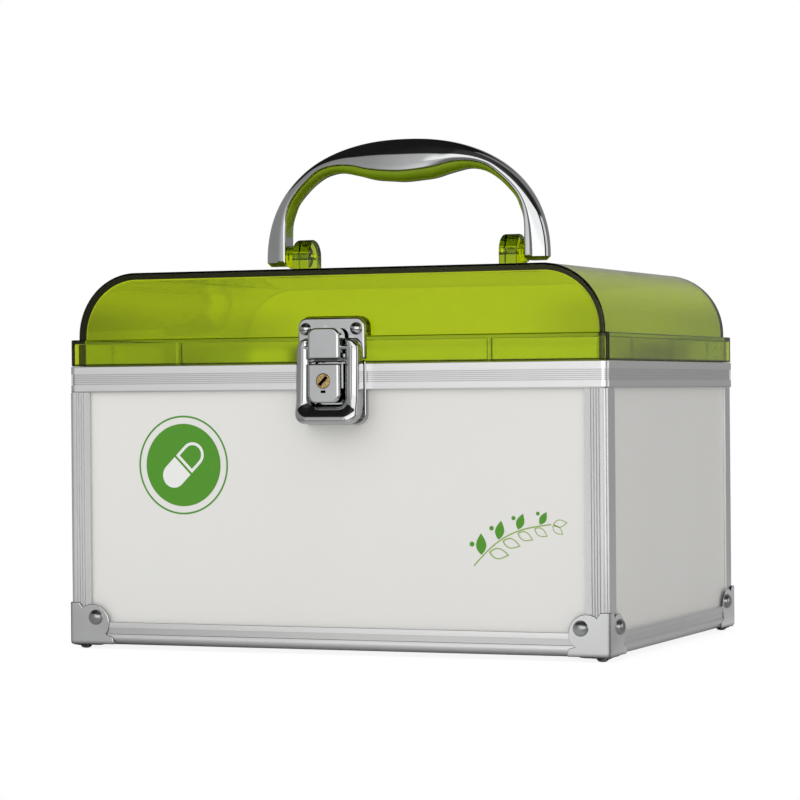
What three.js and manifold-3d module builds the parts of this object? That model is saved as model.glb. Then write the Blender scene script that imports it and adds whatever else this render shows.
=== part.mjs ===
// Medication lock box: an aluminium-framed case of white boards with a clear green lid,
// a folding handle on the lid, two rear hinges and one keyed draw latch at the front.
// Millimetres, +Z up. The front of the case looks along -Y and the ground is at Z = 0.

import * as THREE from 'three';
import { mergeVertices } from 'three/addons/utils/BufferGeometryUtils.js';
import { RoundedBoxGeometry } from 'three/addons/geometries/RoundedBoxGeometry.js';
import Module from 'manifold-3d';

const wasm = await Module();
wasm.setup();

// Case
const boxWidth = 260;
const boxDepth = 189;
const frameHeight = 126.2;
const frameLift = 2.7;

// Boards
const boardThickness = 3;
const boardClearance = 0.1;

// Top rail
const topRailHeight = 11.8;
const topRailWeb = 1.2;
const railWall = 1.7;
const railInnerWall = 1;
const railCornerRadius = 3.2;
const railGrooveCount = 6;
const railGroovePitch = 0.86;
const railGrooveWidth = 0.34;
const railGrooveDepth = 0.3;
const railGrooveStart = 3.5;
const mitreGap = 0.1;

// Bottom rail
const bottomRailHeight = 9.8;
const bottomRailWeb = 1.3;
const bottomRailReach = 9.8;
const bottomRailRound = 4;
const bottomRailBandDepth = 0.3;
const bottomRailBandLow = 4.3;
const bottomRailBandHigh = 6.7;
const roundSteps = 6;

// Corner post
const postInset = 0.8;
const postFlange = 10.3;
const postWall = 1;
const postCornerRadius = 2.4;
const postInnerFlange = 9;
const postGrooveCount = 4;
const postGroovePitch = 1.25;
const postGrooveWidth = 0.5;
const postGrooveDepth = 0.35;
const postGrooveStart = 3.4;
const postEndGap = 0.05;

// Corner bracket
const bracketWall = 1;
const bracketEdgeRadius = 2.2;
const bracketEdgeSteps = 2;
const bracketTop = 21.2;
const bracketTab = 4.6;
const bracketNotchX = 6.4;
const bracketNotchZ = 18.8;
const bracketLobeX = 11.3;
const bracketLobeZ = 11.9;
const bracketLobeRadius = 8.6;
const bracketLobeStart = 1.31;
const bracketLobeEnd = -0.42;
const bracketLobeSteps = 10;
const bracketToeLength = 22.6;
const bracketToeHeight = 3.9;
const bracketSoleLength = 15;
const bracketSoleCorner = 4;
const footInset = 5.2;
const footRadius = 4.3;
const footFlatRadius = 1.6;
const footSteps = 3;
const roundSides = 12;

// Bracket rivet
const bracketRivetX = 13.2;
const bracketRivetZ = 14.5;
const bracketRivetRadius = 3.5;
const bracketRivetHeight = 1.7;
const rivetShankRadius = 1.6;
const rivetTailRadius = 2.6;
const rivetTailHeight = 0.9;
const rivetHoleClearance = 0.15;
const rivetDomeSteps = 2;
const rivetSides = 10;

// Lid
const lidSeam = 0.9;
const skirtInset = 0.7;
const skirtHeight = 11.3;
const skirtWall = 1.4;
const skirtLedge = 1.8;
const skirtCornerRadius = 3;
const domeInsetFront = 4.5;
const domeInsetSide = 3.3;
const domeHeight = 30.3;
const domeShoulderRadius = 30;
const domeShoulderSteps = 14;
const domeEndWall = 2.6;
const domeTopWall = 2.4;
const ribThickness = 1.8;
const frontRibSpread = 72.8;
const sideRibSpread = 57;
const sideRibCount = 3;
const strikePadMargin = 0.7;

// Handle lug
const lugWidth = 8.9;
const lugRadius = 8;
const pivotHeight = 9.6;
const lugSteps = 10;
const lugEdge = 1.2;

// Handle
const handleHalfSpan = 71.6;
const handleLegThickness = 11.1;
const handleOffset = -0.9;
const handleFootClearance = 5.1;
const handleRise = 58.7;
const handleOuterPower = 2.25;
const gripHalfDepth = 9;
const legHalfDepth = 5.2;
const legClearance = 3.6;
const insertInset = 1.2;
const handleStations = 36;
const shellRingPoints = 9;
const shellRoundPower = 2.6;
const footRounding = 1.8;
const insertSkippedStations = 3;

// Handle curves from foot to crown, as shares of the inner half span and of the rise
const innerCurveShares = [
  [0.985, 0],
  [0.985, 0.138],
  [0.978, 0.255],
  [0.962, 0.375],
  [0.929, 0.482],
  [0.86, 0.572],
  [0.775, 0.654],
  [0.669, 0.717],
  [0.537, 0.741],
  [0.383, 0.712],
  [0.248, 0.676],
  [0.129, 0.663],
  [0, 0.654],
];
const borderCurveShares = [
  [1, 0],
  [1, 0.138],
  [1, 0.261],
  [0.99, 0.382],
  [0.954, 0.494],
  [0.886, 0.591],
  [0.802, 0.676],
  [0.702, 0.753],
  [0.574, 0.79],
  [0.426, 0.789],
  [0.278, 0.756],
  [0.144, 0.738],
  [0, 0.729],
];

// Handle pivot stud
const studRadius = 1.5;
const studClearance = 0.1;
const studInLug = 6;
const studInLeg = 6.2;
const collarRadius = 5.4;
const collarGap = 0.25;

// Latch
const latchOffset = 2.4;
const basePlateWidth = 32;
const basePlateThickness = 1;
const basePlateDrop = 27.1;
const basePlateCorner = 5;
const strikeSeam = 0.5;
const latchSmallCorner = 1;

// Latch lever
const leverWidth = 30;
const leverLength = 38;
const leverLift = 0.4;
const leverOpening = 17.6;
const leverBarHeight = 8.7;
const leverThickness = 5.2;
const leverSeat = 2.6;
const leverBottomCorner = 5.4;
const leverTopCorner = 4.4;
const leverOpeningCorner = 3;
const leverBevel = 1.6;
const leverBevelSteps = 3;
const leverPivotDepth = 4;
const leverEndRadius = 4.2;
const cornerSteps = 4;

// Lock body and cheeks
const lockSeam = 0.6;
const lockWidth = 14.8;
const lockHeight = 17.3;
const lockFront = 11.2;
const lockCorner = 2.6;
const lockBevel = 0.9;
const lockWall = 1.5;
const cheekWall = 0.9;
const cheekGap = 0.2;
const cheekFootHeight = 10.8;
const cheekFootFront = 8.6;
const cheekNeckBack = 2.7;
const cheekNeckFront = 5.2;
const cheekEyeRadius = 3;
const leverStudRadius = 1.2;
const leverStudLength = 4.2;
const leverStudClearance = 0.1;

// Key cylinder
const keyRise = 9.7;
const keyRadius = 3.3;
const keyClearance = 0.2;
const keyProud = 0.25;
const keyBack = 4.2;
const keySlotWidth = 1.2;
const keySlotLength = 5;
const keySlotDepth = 2;
const keySlotTurn = 0.5;
const camLength = 5;
const camWidth = 3;
const camThickness = 1.4;
const camTurn = -1;
const keyNotchWidth = 2.1;
const keyNotchHeight = 1.2;
const keyNotchDrop = 0.8;

// Latch hook
const hookPinRise = 1.5;
const hookPinRadius = 0.7;
const hookPinReach = 2;
const hookPinClearance = 0.08;
const hookPinToPivot = 5.7;
const hookEarRadius = 1.2;
const hookEdgeRise = 0.6;
const hookHeight = 13.6;
const hookBack = 4.4;
const hookWall = 1.3;
const hookCorner = 2.4;
const noseWidth = 5.6;
const noseHeight = 1.5;
const noseGap = 0.3;

// Strike plate
const strikeWidth = 31.2;
const strikeRise = 4.7;
const strikeFront = 2.2;
const strikeCorner = 4.2;
const strikeBevel = 0.8;
const strikeSlotWidth = 6.6;
const strikeSlotHeight = 3.6;
const strikeSlotDrop = 0.6;
const strikeSlotDepth = 1.6;
const strikeRivetSpacing = 24.3;
const strikeRivetDrop = 5;
const strikeRivetRadius = 2.5;
const strikeRivetHeight = 1.3;
const smallShankRadius = 1.1;
const smallTailRadius = 1.9;

// Base rivets
const baseRivetSpacing = 20;
const baseRivetRise = 4.6;
const baseRivetRadius = 2.2;
const baseRivetHeight = 1.1;

// Rear hinges
const hingeSpread = 88;
const hingeWidth = 30;
const hingePlateHeight = 7.9;
const hingeLeafThickness = 1;
const knuckleRadius = 2.3;
const hingePinRadius = 1.1;
const hingePinClearance = 0.08;
const knuckleGap = 0.3;
const knuckleCount = 3;
const hingeAxisOut = 2.7;
const hingeRivetSpacing = 18;
const hingeRivetRadius = 1.9;
const hingeRivetHeight = 0.8;
const hingePinHead = 0.6;

// One overrun serves every cut that runs past a face
const overrun = 2;

// Places worked out from the sizes above
const railTopZ = frameLift + frameHeight;
const topRailZ = railTopZ - topRailHeight;
const bottomRailTopZ = frameLift + bottomRailHeight;
const boardFace = postInset + postWall;
const boardInner = boardFace + boardThickness;
const slotInner = boardInner + boardClearance;
const boardBottomZ = frameLift + bottomRailWeb;
const boardTopZ = railTopZ - topRailWeb - boardClearance;
const soleZ = frameLift - bracketWall;
const lidBottomZ = railTopZ + lidSeam;
const skirtTopZ = lidBottomZ + skirtHeight;
const lidTopZ = skirtTopZ + domeHeight;
const pivotZ = lidTopZ + pivotHeight;
const footZ = lidTopZ + handleFootClearance;
const frontY = -boxDepth / 2;
const backY = boxDepth / 2;
const legInner = handleHalfSpan - handleLegThickness;
const lugOuter = legInner - legClearance;
const lugInner = lugOuter - lugWidth;
const hingeAxisY = backY + hingeAxisOut;
const hingeAxisZ = railTopZ + lidSeam / 2;
const cheekInner = lockWidth / 2 + cheekGap;
const cheekOuter = cheekInner + cheekWall;
const basePlateBottom = railTopZ - basePlateDrop;
const basePlateTop = lidBottomZ + strikeSeam;
const baseRivetZ = basePlateBottom + baseRivetRise;
const leverFront = leverSeat + leverThickness;
const leverPivotOut = leverSeat + leverPivotDepth;
const leverBottom = basePlateBottom + leverLift;
const leverTop = leverBottom + leverLength;
const leverOpeningBottom = leverBottom + leverBarHeight;
const lockBottom = leverOpeningBottom + lockSeam;
const lockTop = lockBottom + lockHeight;
const cheekFoot = lockTop - cheekFootHeight;
const keyZ = lockBottom + keyRise;
const hookPinZ = lockTop + hookPinRise;
const leverPivotZ = hookPinZ + hookPinToPivot;
const hookBottom = hookPinZ + hookEdgeRise;
const hookTop = hookBottom + hookHeight;
const strikeBottom = basePlateTop + strikeSeam;
const strikeTop = hookTop + strikeRise;
const strikeSlotBottom = hookTop - noseHeight - strikeSlotDrop;
const strikeSlotTop = strikeSlotBottom + strikeSlotHeight;
const strikeRivetZ = strikeTop - strikeRivetDrop;
const bodyLeafTop = hingeAxisZ - knuckleRadius - knuckleGap;
const lidLeafBottom = hingeAxisZ + knuckleRadius + knuckleGap;
const bodyLeafZ = bodyLeafTop - hingePlateHeight / 2;
const lidLeafZ = lidLeafBottom + hingePlateHeight / 2;
const latchReach = lockFront + keyProud;
const hingeReach = hingeAxisOut + knuckleRadius;

// A quarter turn in radians
const quarter = Math.PI / 2;

// Finishes
const finishes = {
  board: { color: 0xecebe6, roughness: 0.45, metalness: 0 },
  aluminium: { color: 0xd2d4d6, roughness: 0.38, metalness: 0.85 },
  bracketSteel: { color: 0xbfc1c3, roughness: 0.32, metalness: 0.9 },
  rivetSteel: { color: 0x8c8d8e, roughness: 0.25, metalness: 1 },
  chrome: { color: 0xdadcde, roughness: 0.08, metalness: 1 },
  brass: { color: 0xc8a850, roughness: 0.3, metalness: 1 },
  clearGreen: { color: 0x9fc01e, roughness: 0.12, metalness: 0 },
};

// Turn a closed geometry into a solid that can be joined and cut
function solidOf(geometry) {
  const bare = geometry.index ? geometry.toNonIndexed() : geometry.clone();
  bare.deleteAttribute('normal');
  bare.deleteAttribute('uv');
  const merged = mergeVertices(bare);
  return new wasm.Manifold(new wasm.Mesh({
    numProp: 3,
    vertProperties: new Float32Array(merged.attributes.position.array),
    triVerts: new Uint32Array(merged.index.array),
  }));
}

// Turn a solid back into a geometry with flat faces
function geometryOf(solid) {
  const mesh = solid.getMesh();
  const geometry = new THREE.BufferGeometry();
  geometry.setAttribute('position', new THREE.BufferAttribute(mesh.vertProperties, 3));
  geometry.setIndex(new THREE.BufferAttribute(mesh.triVerts, 1));
  geometry.computeVertexNormals();
  return geometry;
}

function shapeOf(points) {
  return new THREE.Shape(points.map(([x, y]) => new THREE.Vector2(x, y)));
}

// Points of an arc from one angle to another, in quarter turns, both ends included
function arc(cx, cy, radius, from, to, steps) {
  const points = [];
  for (let i = 0; i <= steps; i += 1) {
    const angle = quarter * (from + (to - from) * i / steps);
    points.push([cx + radius * Math.cos(angle), cy + radius * Math.sin(angle)]);
  }
  return points;
}

// Rectangle with its own radius at each corner: low left, low right, top right, top left
function roundedRect(x0, y0, x1, y1, radii, steps = cornerSteps) {
  const corners = [
    [x0, y0, 1, 1, 2],
    [x1, y0, -1, 1, 3],
    [x1, y1, -1, -1, 0],
    [x0, y1, 1, -1, 1],
  ];
  return corners.flatMap(([x, y, sx, sy, turn], i) => {
    const r = radii[i];
    return r > 0 ? arc(x + sx * r, y + sy * r, r, turn, turn + 1, steps) : [[x, y]];
  });
}

// Axes that lay a drawing in XZ or YZ and draw it out along Y or X
const alongY = new THREE.Matrix4().makeBasis(
  new THREE.Vector3(1, 0, 0), new THREE.Vector3(0, 0, 1), new THREE.Vector3(0, -1, 0));
const alongX = new THREE.Matrix4().makeBasis(
  new THREE.Vector3(0, 1, 0), new THREE.Vector3(0, 0, 1), new THREE.Vector3(1, 0, 0));

function extruded(points, length, bevel = 0, bevelSteps = 1) {
  return new THREE.ExtrudeGeometry(shapeOf(points), {
    depth: length - 2 * bevel,
    bevelEnabled: bevel > 0,
    bevelThickness: bevel,
    bevelSize: bevel,
    bevelOffset: -bevel,
    bevelSegments: bevelSteps,
  }).translate(0, 0, bevel);
}

function prismZ(points, z0, z1) {
  return solidOf(extruded(points, z1 - z0).translate(0, 0, z0));
}

function prismY(points, y0, y1, bevel, bevelSteps) {
  return solidOf(extruded(points, y1 - y0, bevel, bevelSteps).applyMatrix4(alongY).translate(0, y1, 0));
}

function prismX(points, x0, x1, bevel, bevelSteps) {
  return solidOf(extruded(points, x1 - x0, bevel, bevelSteps).applyMatrix4(alongX).translate(x0, 0, 0));
}

function block(x0, x1, y0, y1, z0, z1) {
  return prismZ([[x0, y0], [x1, y0], [x1, y1], [x0, y1]], z0, z1);
}

function roundedBlock(x0, x1, y0, y1, z0, z1, radius, steps) {
  const geometry = new RoundedBoxGeometry(x1 - x0, y1 - y0, z1 - z0, steps, radius);
  return solidOf(geometry.translate((x0 + x1) / 2, (y0 + y1) / 2, (z0 + z1) / 2));
}

// Straight round bar from one point, pointing along one axis
function rod(axis, x, y, z, radius, length, sides = roundSides) {
  const geometry = new THREE.CylinderGeometry(radius, radius, length, sides);
  geometry.translate(0, length / 2, 0);
  if (axis === 'x') geometry.rotateZ(-quarter);
  if (axis === 'z') geometry.rotateX(quarter);
  return solidOf(geometry.translate(x, y, z));
}

// Turned piece: the profile gives radius and height and starts and ends on the axis
function turned(profile, sides) {
  const points = profile.map(([r, h]) => new THREE.Vector2(r, h));
  return new THREE.LatheGeometry(points, sides);
}

// Rivet with its head's seat at height 0, its dome above and its shank and tail below
function rivetGeometry(headRadius, headHeight, shankRadius, grip, tailRadius) {
  const dome = [];
  for (let i = 0; i <= rivetDomeSteps; i += 1) {
    const angle = quarter * i / rivetDomeSteps;
    dome.push([headRadius * Math.cos(angle), headHeight * Math.sin(angle)]);
  }
  dome[dome.length - 1][0] = 0;
  const tailZ = -grip - rivetTailHeight;
  const stem = [[0, tailZ], [tailRadius, tailZ], [tailRadius, -grip], [shankRadius, -grip]];
  return turned([...stem, [shankRadius, 0], ...dome], rivetSides);
}

function named(name, geometry, finish) {
  const mesh = new THREE.Mesh(geometry, new THREE.MeshStandardMaterial(finishes[finish]));
  mesh.name = name;
  return mesh;
}

function namedSolid(name, solid, finish) {
  return named(name, geometryOf(solid), finish);
}

function placed(mesh, x, y, z, rx = 0, ry = 0, rz = 0) {
  mesh.position.set(x, y, z);
  mesh.rotation.set(rx, ry, rz);
  return mesh;
}

const sideNames = ['front', 'right', 'back', 'left'];
const cornerNames = ['front_left', 'front_right', 'back_right', 'back_left'];
const cornerPlaces = [
  [-boxWidth / 2, frontY],
  [boxWidth / 2, frontY],
  [boxWidth / 2, backY],
  [-boxWidth / 2, backY],
];

// Boards

// Round holes along Y at two places either side of x, from one depth to another
function holePair(x, spacing, z, y0, y1, radius) {
  const left = rod('y', x - spacing / 2, y0, z, radius, y1 - y0, rivetSides);
  return left.add(rod('y', x + spacing / 2, y0, z, radius, y1 - y0, rivetSides));
}

const smallHole = smallShankRadius + rivetHoleClearance;

function baseRivetHoles() {
  const front = frontY - basePlateThickness - overrun;
  const back = frontY + boardInner + overrun;
  return holePair(latchOffset, baseRivetSpacing, baseRivetZ, front, back, smallHole);
}

function strikeRivetHoles() {
  const front = frontY - strikeFront - overrun;
  const back = frontY + domeInsetFront + domeEndWall + overrun;
  return holePair(latchOffset, strikeRivetSpacing, strikeRivetZ, front, back, smallHole);
}

// Both leaves of both hinges are riveted at the same places across the case
function hingeRivetHoles(z, y0, y1) {
  const left = holePair(-hingeSpread, hingeRivetSpacing, z, y0, y1, smallHole);
  return left.add(holePair(hingeSpread, hingeRivetSpacing, z, y0, y1, smallHole));
}

// A wall board lies behind the post flanges and stands on the bottom rail's web.
// It is drawn as the front board of a case of the given length and face distance.
function wallBoard(length, face) {
  const end = length / 2 - slotInner - railInnerWall - boardClearance;
  const outer = -face + boardFace;
  const board = block(-end, end, outer, outer + boardThickness, boardBottomZ, boardTopZ);
  const holes = holePair(0, length - 2 * bracketRivetX, bracketRivetZ, outer - overrun,
    outer + boardThickness + overrun, rivetShankRadius + rivetHoleClearance);
  return board.subtract(holes);
}

function backHoles() {
  return hingeRivetHoles(bodyLeafZ, -backY - overrun, -backY + slotInner + railInnerWall + overrun);
}

function boards() {
  const group = new THREE.Group();
  sideNames.forEach((side, i) => {
    const alongWidth = i % 2 === 0;
    const length = alongWidth ? boxWidth : boxDepth;
    const face = (alongWidth ? boxDepth : boxWidth) / 2;
    let board = wallBoard(length, face);
    if (side === 'front') board = board.subtract(baseRivetHoles());
    if (side === 'back') board = board.subtract(backHoles());
    group.add(placed(namedSolid(`${side}_panel`, board, 'board'), 0, 0, 0, 0, 0, i * quarter));
  });
  const halfX = boxWidth / 2 - slotInner;
  const halfY = boxDepth / 2 - slotInner;
  const floor = block(-halfX, halfX, -halfY, halfY, boardBottomZ, boardBottomZ + boardThickness);
  group.add(namedSolid('bottom_panel', floor, 'board'));
  return group;
}

// Rails

// Sections are drawn with u inward from the outer face and v up from the rail's lower edge
function topRailSection() {
  const inner = slotInner + railInnerWall;
  const face = [[0, 0]];
  for (let i = 0; i < railGrooveCount; i += 1) {
    const low = railGrooveStart + i * railGroovePitch;
    const high = low + railGrooveWidth;
    face.push([0, low], [railGrooveDepth, low], [railGrooveDepth, high], [0, high]);
  }
  const slotTop = topRailHeight - topRailWeb;
  return [
    ...face,
    [0, topRailHeight],
    [inner, topRailHeight],
    [inner, 0],
    [slotInner, 0],
    [slotInner, slotTop],
    [railWall, slotTop],
    [railWall, 0],
  ];
}

function bottomRailSection() {
  const round = arc(bottomRailRound, bottomRailRound, bottomRailRound, 3, 2, roundSteps);
  return [
    [bottomRailReach, bottomRailWeb],
    [bottomRailReach, 0],
    ...round,
    [0, bottomRailBandLow],
    [bottomRailBandDepth, bottomRailBandLow + bottomRailBandDepth],
    [bottomRailBandDepth, bottomRailBandHigh - bottomRailBandDepth],
    [0, bottomRailBandHigh],
    [0, bottomRailHeight],
    [railWall, bottomRailHeight],
    [railWall, bottomRailWeb],
  ];
}

// A rail is drawn as the front one, mitred at both ends and rounded at the case's corners
function rail(section, length, face, reach, z0, height) {
  const run = prismX(section.map(([u, v]) => [-face + u, z0 + v]), -length / 2, length / 2);
  const half = length / 2 - mitreGap / 2;
  const low = z0 - overrun;
  const high = z0 + height + overrun;
  const inner = half - reach;
  const mitre = [[-half, -face], [half, -face], [inner, -face + reach], [-inner, -face + reach]];
  const radii = [railCornerRadius, railCornerRadius, railCornerRadius, railCornerRadius];
  const plan = roundedRect(-length / 2, -face, length / 2, face, radii);
  return run.intersect(prismZ(mitre, low, high)).intersect(prismZ(plan, low, high));
}

function rails() {
  const group = new THREE.Group();
  const topReach = slotInner + railInnerWall;
  sideNames.forEach((side, i) => {
    const alongWidth = i % 2 === 0;
    const length = alongWidth ? boxWidth : boxDepth;
    const face = (alongWidth ? boxDepth : boxWidth) / 2;
    let top = rail(topRailSection(), length, face, topReach, topRailZ, topRailHeight);
    if (side === 'back') top = top.subtract(backHoles());
    const low = rail(bottomRailSection(), length, face, bottomRailReach, frameLift, bottomRailHeight);
    const topMesh = namedSolid(`top_rail_${side}`, top, 'aluminium');
    const lowMesh = namedSolid(`bottom_rail_${side}`, low, 'aluminium');
    group.add(placed(topMesh, 0, 0, 0, 0, 0, i * quarter));
    group.add(placed(lowMesh, 0, 0, 0, 0, 0, i * quarter));
  });
  return group;
}

// Corner posts

// The section has its outer corner at the origin; the grooved flange lies along +x
function postSection() {
  const slot = slotInner - postInset;
  const core = slot + railInnerWall;
  const grooved = [];
  for (let i = 0; i < postGrooveCount; i += 1) {
    const start = postGrooveStart + i * postGroovePitch;
    const end = start + postGrooveWidth;
    grooved.push([start, 0], [start, postGrooveDepth], [end, postGrooveDepth], [end, 0]);
  }
  return [
    ...arc(postCornerRadius, postCornerRadius, postCornerRadius, 2, 3, cornerSteps),
    ...grooved,
    [postFlange, 0],
    [postFlange, postWall],
    [core, postWall],
    [core, slot],
    [postInnerFlange, slot],
    [postInnerFlange, core],
    [core, core],
    [core, postInnerFlange],
    [slot, postInnerFlange],
    [slot, core],
    [postWall, core],
    [postWall, postFlange],
    [0, postFlange],
  ];
}

// The two posts on each diagonal have the grooved flange on opposite wings
function posts() {
  const group = new THREE.Group();
  const section = postSection();
  const flipped = section.map(([x, y]) => [y, x]);
  cornerNames.forEach((corner, i) => {
    const points = (i % 2 === 0 ? section : flipped).map(([x, y]) => [x + postInset, y + postInset]);
    const post = prismZ(points, bottomRailTopZ + postEndGap, topRailZ - postEndGap);
    const [x, y] = cornerPlaces[i];
    const mesh = namedSolid(`corner_post_${corner}`, post, 'aluminium');
    group.add(placed(mesh, x, y, 0, 0, 0, i * quarter));
  });
  return group;
}

// Corner brackets

// One wing, drawn from the case's corner: a tab, a notch, a round lobe, a notch and a toe
function bracketWing() {
  const lobe = arc(bracketLobeX, bracketLobeZ, bracketLobeRadius, bracketLobeStart, bracketLobeEnd,
    bracketLobeSteps);
  return [
    [-bracketWall, soleZ],
    [-bracketWall, bracketTop],
    [bracketTab, bracketTop],
    [bracketNotchX, bracketNotchZ],
    ...lobe,
    [bracketToeLength - bracketWall, soleZ + bracketToeHeight],
    [bracketToeLength, soleZ],
  ];
}

// Pressed dimple under the sole, cut flat where it stands on the ground
function bracketFoot() {
  const rim = soleZ + bracketWall / 2;
  const profile = [[0, 0], [footFlatRadius, 0]];
  for (let i = 1; i <= footSteps; i += 1) {
    const angle = quarter * i / footSteps;
    const radius = footFlatRadius + (footRadius - footFlatRadius) * Math.sin(angle);
    profile.push([radius, soleZ * (1 - Math.cos(angle))]);
  }
  profile.push([footRadius, rim], [0, rim]);
  return solidOf(turned(profile, roundSides).rotateX(quarter).translate(footInset, footInset, 0));
}

function bracketSolid() {
  const wing = bracketWing();
  const low = -bracketWall;
  const soleRadii = [0, bracketSoleCorner, bracketSoleCorner, bracketSoleCorner];
  const solePlan = roundedRect(low, low, bracketSoleLength, bracketSoleLength, soleRadii);
  const sole = prismZ(solePlan, soleZ, frameLift);
  const size = bracketToeLength + bracketTop;
  const hull = roundedBlock(low, size, low, size, soleZ, size, bracketEdgeRadius, bracketEdgeSteps);
  const shell = prismY(wing, low, 0).add(prismX(wing, low, 0)).add(sole).intersect(hull);
  const radius = rivetShankRadius + rivetHoleClearance;
  const length = bracketWall + 2 * overrun;
  const frontHole = rod('y', bracketRivetX, low - overrun, bracketRivetZ, radius, length, rivetSides);
  const sideHole = rod('x', low - overrun, bracketRivetX, bracketRivetZ, radius, length, rivetSides);
  return shell.add(bracketFoot()).subtract(frontHole).subtract(sideHole);
}

function brackets() {
  const group = new THREE.Group();
  const bracket = geometryOf(bracketSolid());
  const rivet = rivetGeometry(bracketRivetRadius, bracketRivetHeight, rivetShankRadius,
    bracketWall + boardInner, rivetTailRadius);
  cornerNames.forEach((corner, i) => {
    const place = new THREE.Group();
    place.position.set(...cornerPlaces[i], 0);
    place.rotation.z = i * quarter;
    place.add(named(`corner_bracket_${corner}`, bracket, 'bracketSteel'));
    const first = named(`bracket_rivet_${corner}_a`, rivet, 'rivetSteel');
    const second = named(`bracket_rivet_${corner}_b`, rivet, 'rivetSteel');
    place.add(placed(first, bracketRivetX, -bracketWall, bracketRivetZ, 2 * quarter, 0, 0));
    place.add(placed(second, -bracketWall, bracketRivetX, bracketRivetZ, 0, 0, quarter));
    group.add(place);
  });
  return group;
}

// Lid

// The dome's cross-section: a flat top with a round shoulder at each side
function domeOutline(wall, base) {
  const half = boxWidth / 2 - domeInsetSide - wall;
  const radius = domeShoulderRadius - wall;
  const centreZ = lidTopZ - domeShoulderRadius;
  const right = arc(half - radius, centreZ, radius, 0, 1, domeShoulderSteps);
  const left = arc(-half + radius, centreZ, radius, 1, 2, domeShoulderSteps);
  return [[half, base], ...right, ...left, [-half, base]];
}

function skirtPlan(inset) {
  const radius = skirtCornerRadius + skirtInset - inset;
  const halfX = boxWidth / 2 - inset;
  const halfY = boxDepth / 2 - inset;
  return roundedRect(-halfX, -halfY, halfX, halfY, [radius, radius, radius, radius]);
}

function lugSolid(side) {
  const base = lidTopZ - domeTopWall / 2;
  const outline = [[lugRadius, base], ...arc(0, pivotZ, lugRadius, 0, 2, lugSteps), [-lugRadius, base]];
  const x0 = side > 0 ? lugInner : -lugInner - lugWidth;
  const lug = prismX(outline, x0, x0 + lugWidth, lugEdge, 2);
  const hole = rod('x', x0 - overrun, 0, pivotZ, studRadius + studClearance, lugWidth + 2 * overrun);
  return lug.subtract(hole);
}

// Ribs join the skirt to the dome's wall behind it
function ribSolids() {
  const ribs = [];
  const half = ribThickness / 2;
  const high = skirtTopZ - skirtLedge / 2;
  const outer = skirtInset + skirtWall / 2;
  const frontReach = domeInsetFront + domeEndWall / 2;
  const sideReach = domeInsetSide + domeTopWall / 2;
  for (const side of [-1, 1]) {
    const front = latchOffset + side * frontRibSpread;
    ribs.push(block(front - half, front + half, frontY + outer, frontY + frontReach, lidBottomZ, high));
    const nearX = side * (boxWidth / 2 - outer);
    const farX = side * (boxWidth / 2 - sideReach);
    for (let i = 0; i < sideRibCount; i += 1) {
      const y = (i - (sideRibCount - 1) / 2) * sideRibSpread;
      ribs.push(block(Math.min(nearX, farX), Math.max(nearX, farX), y - half, y + half, lidBottomZ, high));
    }
  }
  return ribs;
}

// The moulded pad fills the step between the dome and the skirt behind the strike plate
function strikePad() {
  const half = strikeWidth / 2 + strikePadMargin;
  const radius = strikeCorner + strikePadMargin;
  const top = strikeTop + strikePadMargin;
  const radii = [0, 0, radius, radius];
  const outline = roundedRect(latchOffset - half, skirtTopZ - skirtLedge, latchOffset + half, top, radii);
  return prismY(outline, frontY + skirtInset, frontY + domeInsetFront + domeEndWall / 2);
}

// The dome's walls run down behind the skirt, and the ledge joins the two
function lidShell() {
  const ledgeZ = skirtTopZ - skirtLedge;
  const endReach = domeInsetFront + domeEndWall;
  const base = lidBottomZ - overrun;
  const outerDome = prismY(domeOutline(0, lidBottomZ), frontY + domeInsetFront, backY - domeInsetFront);
  const innerDome = prismY(domeOutline(domeTopWall, base), frontY + endReach, backY - endReach);
  const skirt = prismZ(skirtPlan(skirtInset), lidBottomZ, skirtTopZ);
  const hollow = prismZ(skirtPlan(skirtInset + skirtWall), base, ledgeZ);
  let lid = skirt.subtract(hollow).add(outerDome).subtract(innerDome).add(strikePad());
  for (const rib of ribSolids()) lid = lid.add(rib);
  for (const side of [-1, 1]) lid = lid.add(lugSolid(side));
  const hingeHoles = hingeRivetHoles(lidLeafZ, backY - skirtInset - skirtWall - overrun, backY + overrun);
  return lid.subtract(strikeRivetHoles()).subtract(hingeHoles);
}

// Handle

// A point of the outer arch, from the foot at share 0 to the crown at share 1
function outerPoint(share, side) {
  const angle = quarter * share;
  const power = 2 / handleOuterPower;
  const x = handleHalfSpan * Math.cos(angle) ** power;
  return new THREE.Vector2(side * x, footZ + handleRise * Math.sin(angle) ** power);
}

// A smooth curve through a table of shares, mirrored across the crown
function archCurve(shares) {
  const right = shares.map(([across, up]) => new THREE.Vector2(across * legInner, footZ + up * handleRise));
  const left = right.slice(0, -1).map((point) => new THREE.Vector2(-point.x, point.y));
  return new THREE.SplineCurve([...left, ...right.reverse()]);
}

function handleDepth(point) {
  const across = Math.abs(point.x) / handleHalfSpan;
  return legHalfDepth + (gripHalfDepth - legHalfDepth) * (1 - across ** 2);
}

// One closed ring of the handle: flat along the near point and domed towards the far point
function handleRing(near, far, halfDepth, lift) {
  const ring = [];
  const power = 2 / shellRoundPower;
  for (let i = 0; i < shellRingPoints; i += 1) {
    const angle = Math.PI * i / (shellRingPoints - 1) - quarter;
    const across = Math.abs(Math.sin(angle)) ** power * Math.sign(angle);
    const share = Math.max(Math.cos(angle), 0) ** power;
    const x = near.x + (far.x - near.x) * share;
    const z = near.y + (far.y - near.y) * share;
    ring.push(new THREE.Vector3(x, halfDepth * across, z + lift));
  }
  return ring;
}

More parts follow.
